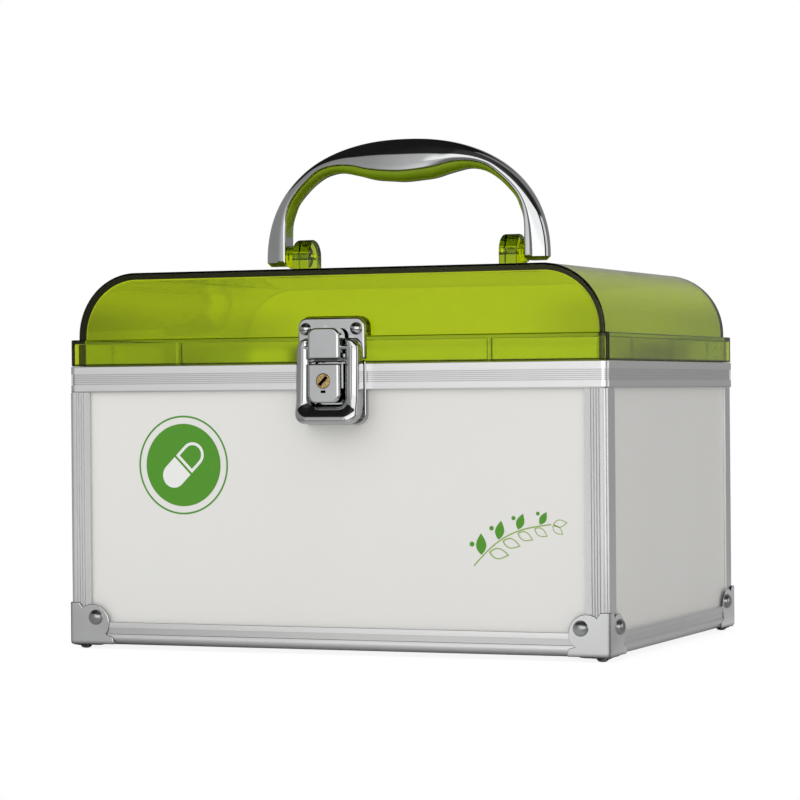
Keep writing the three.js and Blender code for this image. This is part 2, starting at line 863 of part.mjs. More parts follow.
// Skin a row of rings that have the same number of points, with a flat cap at each end
function loft(rings) {
  const size = rings[0].length;
  const triangles = [];
  for (let i = 0; i + 1 < rings.length; i += 1) {
    for (let j = 0; j < size; j += 1) {
      const k = (j + 1) % size;
      triangles.push(rings[i][j], rings[i][k], rings[i + 1][k]);
      triangles.push(rings[i][j], rings[i + 1][k], rings[i + 1][j]);
    }
  }
  const last = rings.length - 1;
  for (let j = 1; j + 1 < size; j += 1) {
    triangles.push(rings[0][0], rings[0][j + 1], rings[0][j]);
    triangles.push(rings[last][0], rings[last][j], rings[last][j + 1]);
  }
  return new THREE.BufferGeometry().setFromPoints(triangles);
}

// Pull a ring's points towards its middle and set it at the foot's lowest level
function footCap(ring) {
  const middle = new THREE.Vector3();
  ring.forEach((point) => middle.addScaledVector(point, 1 / ring.length));
  return ring.map((point) => {
    const inward = middle.clone().sub(point).setZ(0);
    const moved = point.clone().addScaledVector(inward.normalize(), footRounding);
    return moved.setZ(footZ);
  });
}

// The foot's rings are lifted by the rounding, which fades out up the leg.
// Shell and insert use the same stations, so they meet on the border without a gap.
function archRings(farPoint, depthInset, skipped) {
  const border = archCurve(borderCurveShares);
  const rings = [];
  for (let i = skipped; i <= handleStations - skipped; i += 1) {
    const along = i / handleStations;
    const share = 1 - Math.abs(1 - 2 * along);
    const halfDepth = handleDepth(outerPoint(share, 1)) - depthInset;
    const lift = footRounding * (1 - share) ** 4;
    rings.push(handleRing(border.getPoint(along), farPoint(along, share), halfDepth, lift));
  }
  return rings;
}

function handleShell() {
  const far = (along, share) => outerPoint(share, along < 1 / 2 ? -1 : 1);
  const rings = archRings(far, 0, 0);
  const closed = [footCap(rings[0]), ...rings, footCap(rings[rings.length - 1])];
  let shell = solidOf(loft(closed.reverse()));
  const length = studInLeg + studClearance + overrun;
  const radius = studRadius + studClearance;
  shell = shell.subtract(rod('x', legInner - overrun, 0, pivotZ, radius, length));
  return shell.subtract(rod('x', -legInner + overrun - length, 0, pivotZ, radius, length));
}

function handleInsert() {
  const inner = archCurve(innerCurveShares);
  return solidOf(loft(archRings((along) => inner.getPoint(along), insertInset, insertSkippedStations)));
}

// Stud with a collar that keeps the leg clear of the lug, drawn for the right-hand side
function pivotStud(side) {
  const leg = legInner + side * handleOffset;
  const start = lugOuter - studInLug;
  const end = leg + studInLeg;
  const collarStart = lugOuter + collarGap;
  const collarEnd = leg - collarGap;
  const stud = rod('x', start, 0, pivotZ, studRadius, end - start);
  return stud.add(rod('x', collarStart, 0, pivotZ, collarRadius, collarEnd - collarStart));
}

// The handle sits a little to the left between its lugs
function handle() {
  const group = new THREE.Group();
  group.add(placed(namedSolid('handle_shell', handleShell(), 'chrome'), handleOffset, 0, 0));
  group.add(placed(namedSolid('handle_insert', handleInsert(), 'clearGreen'), handleOffset, 0, 0));
  const left = namedSolid('handle_pivot_left', pivotStud(-1), 'clearGreen');
  group.add(placed(left, 0, 0, 0, 0, 0, 2 * quarter));
  group.add(namedSolid('handle_pivot_right', pivotStud(1), 'clearGreen'));
  return group;
}

// Latch

// Prism that faces the front with a bevelled rim; places are distances out from the case's face
function faced(points, front, back, bevel, steps) {
  const middle = (front + back) / 2;
  const rim = prismY(points, frontY - front, frontY - back, bevel, steps);
  return rim.add(prismY(points, frontY - middle, frontY - back));
}

function centredRect(width, low, high, lowRadius, highRadius) {
  const radii = [lowRadius, lowRadius, highRadius, highRadius];
  return roundedRect(latchOffset - width / 2, low, latchOffset + width / 2, high, radii);
}

function centredBlock(width, front, back, low, high) {
  return block(latchOffset - width / 2, latchOffset + width / 2, frontY - front, frontY - back, low, high);
}

// Round bar across the latch, symmetric about its middle
function crossRod(out, z, radius, halfLength) {
  return rod('x', latchOffset - halfLength, frontY - out, z, radius, 2 * halfLength);
}

// The plate lies on the top rail, and the packing behind its lower half fills the step to the board
function basePlate() {
  const outline = centredRect(basePlateWidth, basePlateBottom, basePlateTop, basePlateCorner,
    latchSmallCorner);
  const plate = prismY(outline, frontY - basePlateThickness, frontY);
  const packing = prismY(outline, frontY - basePlateThickness / 2, frontY + boardFace - boardClearance);
  const top = topRailZ - boardClearance;
  const below = centredBlock(basePlateWidth, overrun, -boardFace, basePlateBottom, top);
  return plate.add(packing.intersect(below)).subtract(baseRivetHoles());
}

function cheek(side) {
  const near = side > 0 ? latchOffset + cheekInner : latchOffset - cheekOuter;
  const foot = block(near, near + cheekWall, frontY - cheekFootFront, frontY - basePlateThickness, cheekFoot,
    lockTop);
  const neck = block(near, near + cheekWall, frontY - cheekNeckFront, frontY - cheekNeckBack,
    lockTop - overrun, leverPivotZ);
  const eye = rod('x', near, frontY - leverPivotOut, leverPivotZ, cheekEyeRadius, cheekWall);
  const bridge = latchOffset + side * (cheekInner - cheekGap);
  const spacer = block(Math.min(bridge, near), Math.max(bridge, near), frontY - cheekFootFront,
    frontY - basePlateThickness, cheekFoot, lockTop);
  return foot.add(neck).add(eye).add(spacer);
}

function lockBody() {
  const outline = centredRect(lockWidth, lockBottom, lockTop, lockCorner, latchSmallCorner);
  const front = lockFront - lockWall;
  const inner = lockWidth - 2 * lockWall;
  const hollow = centredBlock(inner, front, 0, lockBottom + lockWall, lockTop - lockWall);
  const keyhole = rod('y', latchOffset, frontY - lockFront - overrun, keyZ, keyRadius + keyClearance,
    lockWall + 2 * overrun);
  const notchTop = keyZ - keyRadius - keyNotchDrop;
  const notch = centredBlock(keyNotchWidth, lockFront + overrun, front - overrun,
    notchTop - keyNotchHeight, notchTop);
  let body = faced(outline, lockFront, basePlateThickness, lockBevel, 2);
  body = body.subtract(hollow).subtract(keyhole).subtract(notch);
  for (const side of [-1, 1]) body = body.add(cheek(side));
  const studHalf = cheekOuter + leverStudLength;
  const studs = crossRod(leverPivotOut, leverPivotZ, leverStudRadius, studHalf);
  const middle = centredBlock(2 * cheekInner + cheekWall, lockFront, 0, lockTop, leverTop);
  return body.add(studs.subtract(middle));
}

// Corners of a bar turned about the key's axis in the XZ plane, by so many quarter turns
function turnedBar(length, width, turn, centred) {
  const angle = turn * quarter;
  const start = centred ? -length / 2 : 0;
  const end = start + length;
  const half = width / 2;
  return [[start, -half], [end, -half], [end, half], [start, half]].map(([x, y]) => [
    latchOffset + x * Math.cos(angle) - y * Math.sin(angle),
    keyZ + x * Math.sin(angle) + y * Math.cos(angle),
  ]);
}

function keyCylinder() {
  const front = lockFront + keyProud;
  const barrel = rod('y', latchOffset, frontY - front, keyZ, keyRadius, front - keyBack);
  const slotBar = turnedBar(keySlotLength, keySlotWidth, keySlotTurn, true);
  const slot = prismY(slotBar, frontY - front - overrun, frontY - front + keySlotDepth);
  const camBar = turnedBar(camLength, camWidth, camTurn, false);
  const cam = prismY(camBar, frontY - keyBack - camThickness / 2, frontY - keyBack + camThickness / 2);
  return barrel.subtract(slot).add(cam);
}

// U-shaped outline of the lever, open at the top
function leverOutline() {
  const x0 = latchOffset - leverWidth / 2;
  const x1 = latchOffset + leverWidth / 2;
  const inner = leverOpening / 2;
  const low = leverBottom + leverBottomCorner;
  const high = leverTop - leverTopCorner;
  const cup = leverOpeningBottom + leverOpeningCorner;
  const cupX = inner - leverOpeningCorner;
  return [
    ...arc(x0 + leverBottomCorner, low, leverBottomCorner, 2, 3, cornerSteps),
    ...arc(x1 - leverBottomCorner, low, leverBottomCorner, 3, 4, cornerSteps),
    ...arc(x1 - leverTopCorner, high, leverTopCorner, 0, 1, cornerSteps),
    [latchOffset + inner, leverTop],
    ...arc(latchOffset + cupX, cup, leverOpeningCorner, 0, -1, cornerSteps),
    ...arc(latchOffset - cupX, cup, leverOpeningCorner, -1, -2, cornerSteps),
    [latchOffset - inner, leverTop],
    ...arc(x0 + leverTopCorner, high, leverTopCorner, 1, 2, cornerSteps),
  ];
}

// The upper ends are rounded about the studs, so they turn clear of the strike plate
function latchLever() {
  const ring = prismY(leverOutline(), frontY - leverFront, frontY - leverSeat, leverBevel, leverBevelSteps);
  const limbs = centredBlock(leverWidth + overrun, leverFront + overrun, 0, leverBottom, leverPivotZ);
  const ends = crossRod(leverPivotOut, leverPivotZ, leverEndRadius, leverWidth);
  const studBore = crossRod(leverPivotOut, leverPivotZ, leverStudRadius + leverStudClearance,
    cheekOuter + leverStudLength + leverStudClearance);
  const pinBore = crossRod(leverPivotOut, hookPinZ, hookPinRadius + hookPinClearance,
    leverOpening / 2 + hookPinReach + hookPinClearance);
  return ring.intersect(limbs.add(ends)).subtract(studBore).subtract(pinBore);
}

function latchHook() {
  const outline = centredRect(lockWidth, hookBottom, hookTop, latchSmallCorner, hookCorner);
  const hollow = centredBlock(lockWidth - 2 * hookWall, lockFront - hookWall, hookBack - overrun,
    hookBottom - overrun, hookTop - hookWall);
  const nose = centredBlock(noseWidth, hookBack + hookWall, strikeFront + noseGap,
    hookTop - noseHeight, hookTop);
  const ears = crossRod(leverPivotOut, hookPinZ, hookEarRadius, lockWidth / 2);
  const bore = crossRod(leverPivotOut, hookPinZ, hookPinRadius + hookPinClearance, lockWidth);
  const cap = faced(outline, lockFront, hookBack, lockBevel, 2).add(ears);
  return cap.subtract(hollow).add(nose).subtract(bore);
}

function strikePlate() {
  const outline = centredRect(strikeWidth, strikeBottom, strikeTop, latchSmallCorner, strikeCorner);
  const plate = faced(outline, strikeFront, -skirtInset, strikeBevel, 2);
  const slot = centredBlock(strikeSlotWidth, strikeFront + overrun, strikeFront - strikeSlotDepth,
    strikeSlotBottom, strikeSlotTop);
  return plate.subtract(slot).subtract(strikeRivetHoles());
}

// Two like rivets on the front, either side of the latch's middle
function frontRivets(prefix, spacing, z, seat, head, height, grip) {
  const geometry = rivetGeometry(head, height, smallShankRadius, grip, smallTailRadius);
  return ['left', 'right'].map((side, i) => {
    const x = latchOffset + (i - 1 / 2) * spacing;
    return placed(named(`${prefix}_${side}`, geometry, 'chrome'), x, frontY - seat, z, 2 * quarter, 0, 0);
  });
}

function latch() {
  const group = new THREE.Group();
  group.add(namedSolid('latch_base_plate', basePlate(), 'chrome'));
  group.add(namedSolid('lock_body', lockBody(), 'chrome'));
  group.add(namedSolid('key_cylinder', keyCylinder(), 'brass'));
  group.add(namedSolid('latch_lever', latchLever(), 'chrome'));
  group.add(namedSolid('latch_hook', latchHook(), 'chrome'));
  const pinHalf = leverOpening / 2 + hookPinReach;
  const pin = crossRod(leverPivotOut, hookPinZ, hookPinRadius, pinHalf);
  group.add(namedSolid('hook_pin', pin, 'rivetSteel'));
  group.add(namedSolid('strike_plate', strikePlate(), 'chrome'));
  const strikeGrip = strikeFront + domeInsetFront + domeEndWall;
  const baseGrip = basePlateThickness + boardInner;
  group.add(...frontRivets('strike_rivet', strikeRivetSpacing, strikeRivetZ, strikeFront,
    strikeRivetRadius, strikeRivetHeight, strikeGrip));
  group.add(...frontRivets('base_rivet', baseRivetSpacing, baseRivetZ, basePlateThickness,
    baseRivetRadius, baseRivetHeight, baseGrip));
  return group;
}

// Rear hinges

// Stretches of the pin that belong to one leaf: the outer knuckles are 0 and the middle ones 1
function knuckleSpans(own) {
  const length = hingeWidth / knuckleCount;
  const spans = [];
  for (let i = own; i < knuckleCount; i += 2) {
    const start = -hingeWidth / 2 + i * length + knuckleGap / 2;
    spans.push([start, start + length - knuckleGap]);
  }
  return spans;
}

// The plate stops short of the axis, and a tongue runs on to each of its own knuckles
function hingeLeaf(x, face, low, high, own) {
  const outer = backY + hingeLeafThickness;
  const tongueLow = own === 0 ? low : hingeAxisZ;
  const tongueHigh = own === 0 ? hingeAxisZ : high;
  let leaf = block(x - hingeWidth / 2, x + hingeWidth / 2, face, outer, low, high);
  for (const [start, end] of knuckleSpans(own)) {
    leaf = leaf.add(block(x + start, x + end, backY, outer, tongueLow, tongueHigh));
    leaf = leaf.add(rod('x', x + start, hingeAxisY, hingeAxisZ, knuckleRadius, end - start));
  }
  const bore = rod('x', x - hingeWidth / 2 - overrun, hingeAxisY, hingeAxisZ,
    hingePinRadius + hingePinClearance, hingeWidth + 2 * overrun);
  return leaf.subtract(bore);
}

function leafRivets(prefix, side, x, z, grip) {
  const geometry = rivetGeometry(hingeRivetRadius, hingeRivetHeight, smallShankRadius, grip,
    smallTailRadius);
  const seat = backY + hingeLeafThickness;
  return [-1, 1].map((end, i) => {
    const mesh = named(`${prefix}_${side}_${i + 1}`, geometry, 'rivetSteel');
    return placed(mesh, x + end * hingeRivetSpacing / 2, seat, z, 0, 0, 0);
  });
}

function hinges() {
  const group = new THREE.Group();
  const past = backY + hingeLeafThickness + overrun;
  const lidGrip = hingeLeafThickness + skirtInset + skirtWall;
  const bodyGrip = hingeLeafThickness + slotInner + railInnerWall;
  ['left', 'right'].forEach((side, i) => {
    const x = (2 * i - 1) * hingeSpread;
    const low = hingeLeaf(x, backY, bodyLeafTop - hingePlateHeight, bodyLeafTop, 0);
    const high = hingeLeaf(x, backY - skirtInset, lidLeafBottom, lidLeafBottom + hingePlateHeight, 1);
    const bodyLeaf = low.subtract(hingeRivetHoles(bodyLeafZ, frontY, past));
    const lidLeaf = high.subtract(hingeRivetHoles(lidLeafZ, frontY, past));
    const pinLength = hingeWidth + 2 * hingePinHead;
    const pin = rod('x', x - pinLength / 2, hingeAxisY, hingeAxisZ, hingePinRadius, pinLength);
    group.add(namedSolid(`hinge_body_leaf_${side}`, bodyLeaf, 'bracketSteel'));
    group.add(namedSolid(`hinge_lid_leaf_${side}`, lidLeaf, 'bracketSteel'));
    group.add(namedSolid(`hinge_pin_${side}`, pin, 'rivetSteel'));
    group.add(...leafRivets('hinge_body_rivet', side, x, bodyLeafZ, bodyGrip));
    group.add(...leafRivets('hinge_lid_rivet', side, x, lidLeafZ, lidGrip));
  });
  return group;
}

const box = new THREE.Group();
box.add(boards(), rails(), posts(), brackets(), latch(), hinges(), handle());
box.add(namedSolid('lid_shell', lidShell(), 'clearGreen'));

// The origin is midway between the latch's front and the hinges' back
box.position.y = (latchReach - hingeReach) / 2;

export default box;
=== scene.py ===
# %% [markdown]
# # Dressing a medication lock box
# The CAD model gives the box as plain solids in metres. This lesson loads those solids as a
# fixed frame and lays the real looks over them: drawn aluminium, white board, clear green
# plastic, polished chrome and a little brass. Nothing here changes a size of the box.

# %% Load the frame
import math

import bmesh
import bpy
import numpy as np
from mathutils import Matrix, Vector


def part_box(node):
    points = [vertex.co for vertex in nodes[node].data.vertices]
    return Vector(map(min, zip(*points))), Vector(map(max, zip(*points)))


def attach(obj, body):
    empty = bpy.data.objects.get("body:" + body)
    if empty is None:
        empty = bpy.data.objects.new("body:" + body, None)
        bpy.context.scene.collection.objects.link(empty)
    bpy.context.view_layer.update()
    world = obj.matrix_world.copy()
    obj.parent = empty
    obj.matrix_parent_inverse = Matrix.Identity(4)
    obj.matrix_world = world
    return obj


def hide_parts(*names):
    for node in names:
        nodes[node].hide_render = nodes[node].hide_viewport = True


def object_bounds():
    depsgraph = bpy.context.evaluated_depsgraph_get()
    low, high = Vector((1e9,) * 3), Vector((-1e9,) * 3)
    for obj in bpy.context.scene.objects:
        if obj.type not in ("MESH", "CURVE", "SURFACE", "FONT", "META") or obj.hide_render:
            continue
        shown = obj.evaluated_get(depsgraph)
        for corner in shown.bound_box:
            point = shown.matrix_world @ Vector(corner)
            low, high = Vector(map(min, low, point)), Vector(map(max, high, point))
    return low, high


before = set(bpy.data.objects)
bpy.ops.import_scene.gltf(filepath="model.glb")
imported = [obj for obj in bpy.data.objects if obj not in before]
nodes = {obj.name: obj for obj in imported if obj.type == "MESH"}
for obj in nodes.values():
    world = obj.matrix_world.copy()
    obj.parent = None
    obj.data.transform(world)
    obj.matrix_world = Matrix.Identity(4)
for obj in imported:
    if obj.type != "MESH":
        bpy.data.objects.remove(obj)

MM = 0.001
cad_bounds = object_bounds()
size = (cad_bounds[1] - cad_bounds[0]) / MM
print("frame:", len(nodes), "solids, box", [round(v, 1) for v in size])

# %% [markdown]
# The lengths of the pieces are written in millimetres. The pieces are drawn from the case's
# own faces, so those are read off the frame once: the front and back planes, the middle
# between them, and half of the width and the depth.

# %% The case's faces
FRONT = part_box("bottom_rail_front")[0].y / MM
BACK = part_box("bottom_rail_back")[1].y / MM
HALF_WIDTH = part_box("bottom_rail_right")[1].x / MM
MIDDLE, HALF_DEPTH = (FRONT + BACK) / 2, (BACK - FRONT) / 2


def placed(name, data):
    """A new object in the scene."""
    made = bpy.data.objects.new(name, data)
    bpy.context.scene.collection.objects.link(made)
    return made


def written(work, name="piece"):
    """A mesh from a bmesh that isn't needed any more."""
    mesh = bpy.data.meshes.new(name)
    work.to_mesh(mesh)
    work.free()
    return mesh


print("front", FRONT, "back", BACK, "half width", HALF_WIDTH)

# %% [markdown]
# ## Camera
# The photograph was taken from 1.4 metres, level with the top of the case and 22 degrees to
# the right of the front. A long lens keeps the upright edges upright. The place and the three
# turns were worked out from the box's corners, so they are written as plain numbers.

# %% Camera
CAMERA_PLACE, CAMERA_LENS = Vector((0.5359, -1.3039, 0.1160)), 135.06
CAMERA_YAW, CAMERA_PITCH, CAMERA_ROLL = 22.477, -0.148, -0.492
camera = placed("camera", bpy.data.cameras.new("camera"))
camera.data.lens = CAMERA_LENS
camera.data.clip_start, camera.data.clip_end = 0.05, 30
camera.matrix_world = Matrix.Translation(CAMERA_PLACE)
for angle, axis in ((CAMERA_YAW, "Z"), (90 + CAMERA_PITCH, "X"), (CAMERA_ROLL, "Z")):
    camera.matrix_world @= Matrix.Rotation(math.radians(angle), 4, axis)
bpy.context.scene.camera = camera
bpy.context.scene.view_settings.view_transform = "Standard"
print("camera at", [round(v, 4) for v in CAMERA_PLACE])

# %% [markdown]
# ## Node trees as sums
# A shader or a Geometry Nodes tree is a graph, and graphs are hard to read as code. One small
# class wraps a socket and lets Python's own signs add the Math nodes, so a mask is written as
# a formula. A second class makes every other node with a single method.

# %% Signal, a socket that counts


def sign(operation, swapped=False):
    """What one of Python's signs does: it adds a Math node."""

    def method(self, other):
        pair = (other, self) if swapped else (self, other)
        return self.graph.math(operation, *pair)

    return method


class Signal:
    """A socket that Python's signs work on."""

    __add__ = __radd__ = sign("ADD")
    __mul__ = __rmul__ = sign("MULTIPLY")
    __sub__, __rsub__, __truediv__ = sign("SUBTRACT"), sign("SUBTRACT", True), sign("DIVIDE")

    def __init__(self, graph, socket):
        self.graph, self.socket = graph, socket

    def math(self, operation, *others):
        return self.graph.math(operation, self, *others)

    def step(self, low, high):
        """0 below low, 1 above high and a smooth ramp between them."""
        given = {"Value": self, "From Min": low, "From Max": high}
        return self.graph.node("ShaderNodeMapRange", given, {"interpolation_type": "SMOOTHSTEP"})

    def between(self, low, high, soft):
        """1 between low and high, with edges as wide as soft."""
        return self.step(low - soft, low + soft) * (1 - self.step(high - soft, high + soft))


def choose(share, low, high):
    """low where the share is 0 and high where it is 1."""
    return low + (high - low) * share


print("signals ready")

# %% Graph, a tree that adds nodes


class Graph:
    """A node tree with one way of adding a node."""

    def __init__(self, tree):
        self.tree = tree
        tree.nodes.clear()

    def node(self, kind, inputs=None, settings=None, output=0):
        made = self.tree.nodes.new(kind)
        for key, value in (settings or {}).items():
            setattr(made, key, value)
        for key, value in (inputs or {}).items():
            self.feed(made.inputs[key], value)
        return Signal(self, made.outputs[output]) if len(made.outputs) else made

    def feed(self, socket, value):
        if isinstance(value, Signal):
            self.tree.links.new(value.socket, socket)
        elif socket.type == "RGBA" and len(value) == 3:
            socket.default_value = (*value, 1)
        else:
            socket.default_value = value

    def math(self, operation, *values):
        return self.node("ShaderNodeMath", dict(enumerate(values)), {"operation": operation})

    def parts(self, vector):
        """The three numbers of a vector."""
        made = self.tree.nodes.new("ShaderNodeSeparateXYZ")
        self.tree.links.new(vector.socket, made.inputs[0])
        return [Signal(self, socket) for socket in made.outputs]

    def vector(self, x, y, z):
        return self.node("ShaderNodeCombineXYZ", {"X": x, "Y": y, "Z": z})

    def mix(self, share, low, high):
        """low's colour where the share is 0 and high's where it is 1."""
        given = {0: share, 6: low, 7: high}
        return self.node("ShaderNodeMix", given, {"data_type": "RGBA"}, 2)

    def noise(self, place, scale, detail=2.0, roughness=0.5):
        given = {"Vector": place, "Scale": scale, "Detail": detail, "Roughness": roughness}
        return self.node("ShaderNodeTexNoise", given)

    def rays(self):
        """1 for a ray from the camera or out of a clear piece, and 1 for a mirrored one."""
        path = self.tree.nodes.new("ShaderNodeLightPath").outputs
        kinds = ("Camera", "Transmission", "Glossy")
        seen, clear, glossy = (Signal(self, path[f"Is {kind} Ray"]) for kind in kinds)
        return seen.math("MAXIMUM", clear), glossy


def new_material(name):
    made = bpy.data.materials.new(name)
    made.use_nodes = True
    return made, Graph(made.node_tree)


print("graphs ready")

# %% [markdown]
# ## Studio
# The photograph has a white background and soft light. Area lamps and cards could stand round
# the box, but a world shader holds all of it in one formula of direction: an evenly lit wall
# that brightens towards the right, bright panels in front, a dark gap, and a dark ceiling
# that shows as a black band in the chrome. The camera and clear plastic see plain white,
# polished metal sees the panels, and diffuse surfaces get an even light from the front left.

# %% The room that metal mirrors
# Degrees round the box from its front to the right: start, end and softness.
LOW_PANEL, HIGH_PANEL = (-10, 60, 1.2), (-17.5, 60, 0.7)
GAP, STRIP, LINE, SKYLIGHT = (60, 80, 1), (80, 112, 2), (-15.5, -10, 0.8), (122, 176, 3)
# Steps in degrees round the box, and in degrees of height.
BACK_START, BACK_END, RAMP_START, RAMP_END = (112, 122), (-150, -135), (-34, -15), (60, 70)
PANEL_STEP, RAMP_FALL, LINE_TOP, CEILING, PIT = (8.5, 9.5), (3, 8), (5, 7), (24, 27), (-9, -5)
WALL_GLOW, PANEL_GLOW = 0.44, 0.90


def studio_panels(graph):
    """How bright the room is in each direction, as polished metal sees it."""
    x, y, z = graph.parts(graph.node("ShaderNodeTexCoord", output="Generated"))
    side = x.math("ARCTAN2", y * -1) * math.degrees(1)
    height = z.math("ARCSINE") * math.degrees(1)
    front = choose(height.step(*PANEL_STEP), side.between(*LOW_PANEL), side.between(*HIGH_PANEL))
    back = side.step(*BACK_START) + 1 - side.step(*BACK_END)
    ramp = side.step(*RAMP_START) * (1 - side.step(*RAMP_END))
    ramp = ramp * (1 - 0.45 * height.step(*RAMP_FALL))
    walls = WALL_GLOW + PANEL_GLOW * (ramp + front + side.between(*STRIP)) - 0.1 * back
    line = side.between(*LINE) * (1 - height.step(*LINE_TOP))
    walls = walls * (1 - 0.85 * side.between(*GAP)) * (1 - 0.8 * line)
    ceiling = height.step(*CEILING) * (1 - side.between(*SKYLIGHT))
    return walls * (1 - 0.96 * ceiling) * (1 - 0.85 * (1 - height.step(*PIT)))


print("front panel from", LOW_PANEL[0], "to", LOW_PANEL[1], "degrees")

# %% World


def soft_fill(graph):
    """The even light on diffuse surfaces, as a gentle slope over the whole room."""
    x, y, z = graph.parts(graph.node("ShaderNodeTexCoord", output="Generated"))
    return 0.72 - 0.3 * y - 0.11 * x + 0.2 * z


world = bpy.data.worlds.new("studio")
bpy.context.scene.world = world
world.use_nodes = True
sky = Graph(world.node_tree)
plain, glossy = sky.rays()
strength = choose(plain, choose(glossy, soft_fill(sky), studio_panels(sky)), 1)
background = sky.node("ShaderNodeBackground", {"Color": (1, 1, 1), "Strength": strength})
sky.node("ShaderNodeOutputWorld", {"Surface": background})
print("world:", len(sky.tree.nodes), "nodes")

# %% [markdown]
# The floor is a plain pale disc. A white plane would do, but its edge and its shade would
# show. Seen by the camera this one glows almost white, and the small part of it that is lit
# by the room keeps the soft contact shadow. Everything else gets light from it as from a matt
# table, and metal mirrors it darker at the left than at the right.

# %% Floor
FLOOR_RADIUS, FLOOR_GLOW = 0.55, 0.90
FLOOR_TINT, TABLE_TINT = (0.16, 0.16, 0.16), (0.78, 0.78, 0.78)
MIRRORED_LEFT, MIRRORED_RIGHT = (0.45, 0.45, 0.45), (0.86, 0.86, 0.86)
LIGHTER_FROM, LIGHTER_TO = (-0.22, 0.06), (0.11, 0.17)


def floor_material():
    made, graph = new_material("pale_floor")
    plain, glossy = graph.rays()
    matt = graph.node("ShaderNodeBsdfDiffuse", {"Color": FLOOR_TINT})
    glow = graph.node("ShaderNodeEmission", {"Color": (1, 1, 1), "Strength": FLOOR_GLOW})
    seen = graph.node("ShaderNodeAddShader", {0: matt, 1: glow})
    x = graph.parts(graph.node("ShaderNodeTexCoord", output="Object"))[0]
    share = x.step(*LIGHTER_FROM) * (1 - x.step(*LIGHTER_TO))
    tint = graph.mix(glossy, TABLE_TINT, graph.mix(share, MIRRORED_LEFT, MIRRORED_RIGHT))
    table = graph.node("ShaderNodeBsdfDiffuse", {"Color": tint})
    both = graph.node("ShaderNodeMixShader", {0: plain, 1: table, 2: seen})
    graph.node("ShaderNodeOutputMaterial", {"Surface": both})
    return made


ring = bmesh.new()
bmesh.ops.create_circle(ring, cap_ends=True, segments=96, radius=FLOOR_RADIUS)
floor = placed("floor", written(ring, "floor"))
floor.data.materials.append(floor_material())
print("floor:", FLOOR_RADIUS, "m round")

# %% [markdown]
# One large soft lamp at the front left gives the boards their slight fall of light. It stays
# out of every mirror, because the panels above already make the reflections.

# %% Lamp
LAMP_PLACE, LAMP_AIM = Vector((-0.9, -1.5, 1.3)), Vector((0, 0, 0.1))
LAMP_SIZE, LAMP_WATTS = 1.2, 3.6
lamp = placed("key_panel", bpy.data.lights.new("key_panel", "AREA"))
lamp.data.size, lamp.data.energy = LAMP_SIZE, LAMP_WATTS
lamp.location = LAMP_PLACE
lamp.rotation_mode = "QUATERNION"
lamp.rotation_quaternion = (LAMP_AIM - LAMP_PLACE).to_track_quat("-Z", "Y")
lamp.visible_camera = lamp.visible_glossy = lamp.visible_transmission = False
print("lamp:", LAMP_WATTS, "W")

# %% [markdown]
# ## Finishes
# Each finish reads the piece's own coordinates in metres, so a pattern keeps its real scale.
# What is the same all over a surface is set on the shader itself, and only colour, roughness
# and bump get nodes. Most surfaces need the same three patterns, so those are made first.

# %% A finish from its varying parts
METAL = {"Metallic": 1.0}


def finish(name, colour, roughness, bump=None, bump_height=0.0, fixed=None, absorb=None):
    """A material from the functions that build its varying values in a graph."""
    made, graph = new_material(name)
    place = graph.node("ShaderNodeTexCoord", output="Object")
    given = {"Base Color": colour(graph, place), "Roughness": roughness(graph, place)}
    if bump:
        raised = {"Height": bump(graph, place), "Distance": bump_height, "Strength": 1.0}
        given["Normal"] = graph.node("ShaderNodeBump", raised)
    given.update(fixed or {})
    outputs = {"Surface": graph.node("ShaderNodeBsdfPrincipled", given)}
    if absorb:
        inside = {"Color": absorb[0], "Density": absorb[1]}
        outputs["Volume"] = graph.node("ShaderNodeVolumeAbsorption", inside)
    graph.node("ShaderNodeOutputMaterial", outputs)
    return made


def clouded(low, high, scale, detail=3):
    """A colour that drifts from one tint to another."""
    return lambda graph, place: graph.mix(graph.noise(place, scale, detail), low, high)


def uneven(base, spread, scale, detail=3):
    """A roughness that wanders above its lowest value."""
    return lambda graph, place: base + spread * graph.noise(place, scale, detail)


def grained(scale, detail=3):
    """A height that follows a noise."""
    return lambda graph, place: graph.noise(place, scale, detail)


print("patterns ready")

# %% [markdown]
# ### White board
# The panels are thin white laminate. It is slightly warm, satin and very smooth: a faint
# cloudiness in the colour, a fine orange peel in the gloss, and dust-sized flecks.

# %% White board
BOARD_PALE, BOARD_WARM, BOARD_FLECK = (0.82, 0.812, 0.785), (0.78, 0.772, 0.745), (0.55, 0.55, 0.53)


def board_colour(graph, place):
    flecks = graph.noise(place, 2400, 1).step(0.70, 0.78)
    tinted = clouded(BOARD_WARM, BOARD_PALE, 14)(graph, place)
    return graph.mix(flecks * 0.10, tinted, BOARD_FLECK)


board = finish("white_board", board_colour, uneven(0.36, 0.12, 60), grained(700, 2), 0.00002)
print(board.name)

# %% [markdown]
# ### Drawn aluminium
# The rails and posts are drawn through a die and then anodised. The die leaves lines along
# the length, so the noise is stretched along the piece, and each direction has its own
# material, with its own painted shade. The lines vary the gloss as well as the tint. An
# attribute of the mesh says where shade is painted into the metal's colour: in the grooves
# and on edges that turn from the light.

# %% Drawn aluminium
METAL_PALE, METAL_GREY = Vector((0.95, 0.95, 0.945)), Vector((0.82, 0.825, 0.825))
PAINTED_SHADE_BLACK = (0.05, 0.05, 0.05)
ALONG, ACROSS = 9, 2600


def darkened(graph, metal, depth):
    """The metal with shade painted into its colour, as far as the value kept on its mesh's points
    says.
    """
    settings = {"attribute_name": "groove", "attribute_type": "GEOMETRY"}
    groove = graph.node("ShaderNodeAttribute", settings=settings, output=2)
    return graph.mix(groove * depth, metal, PAINTED_SHADE_BLACK)


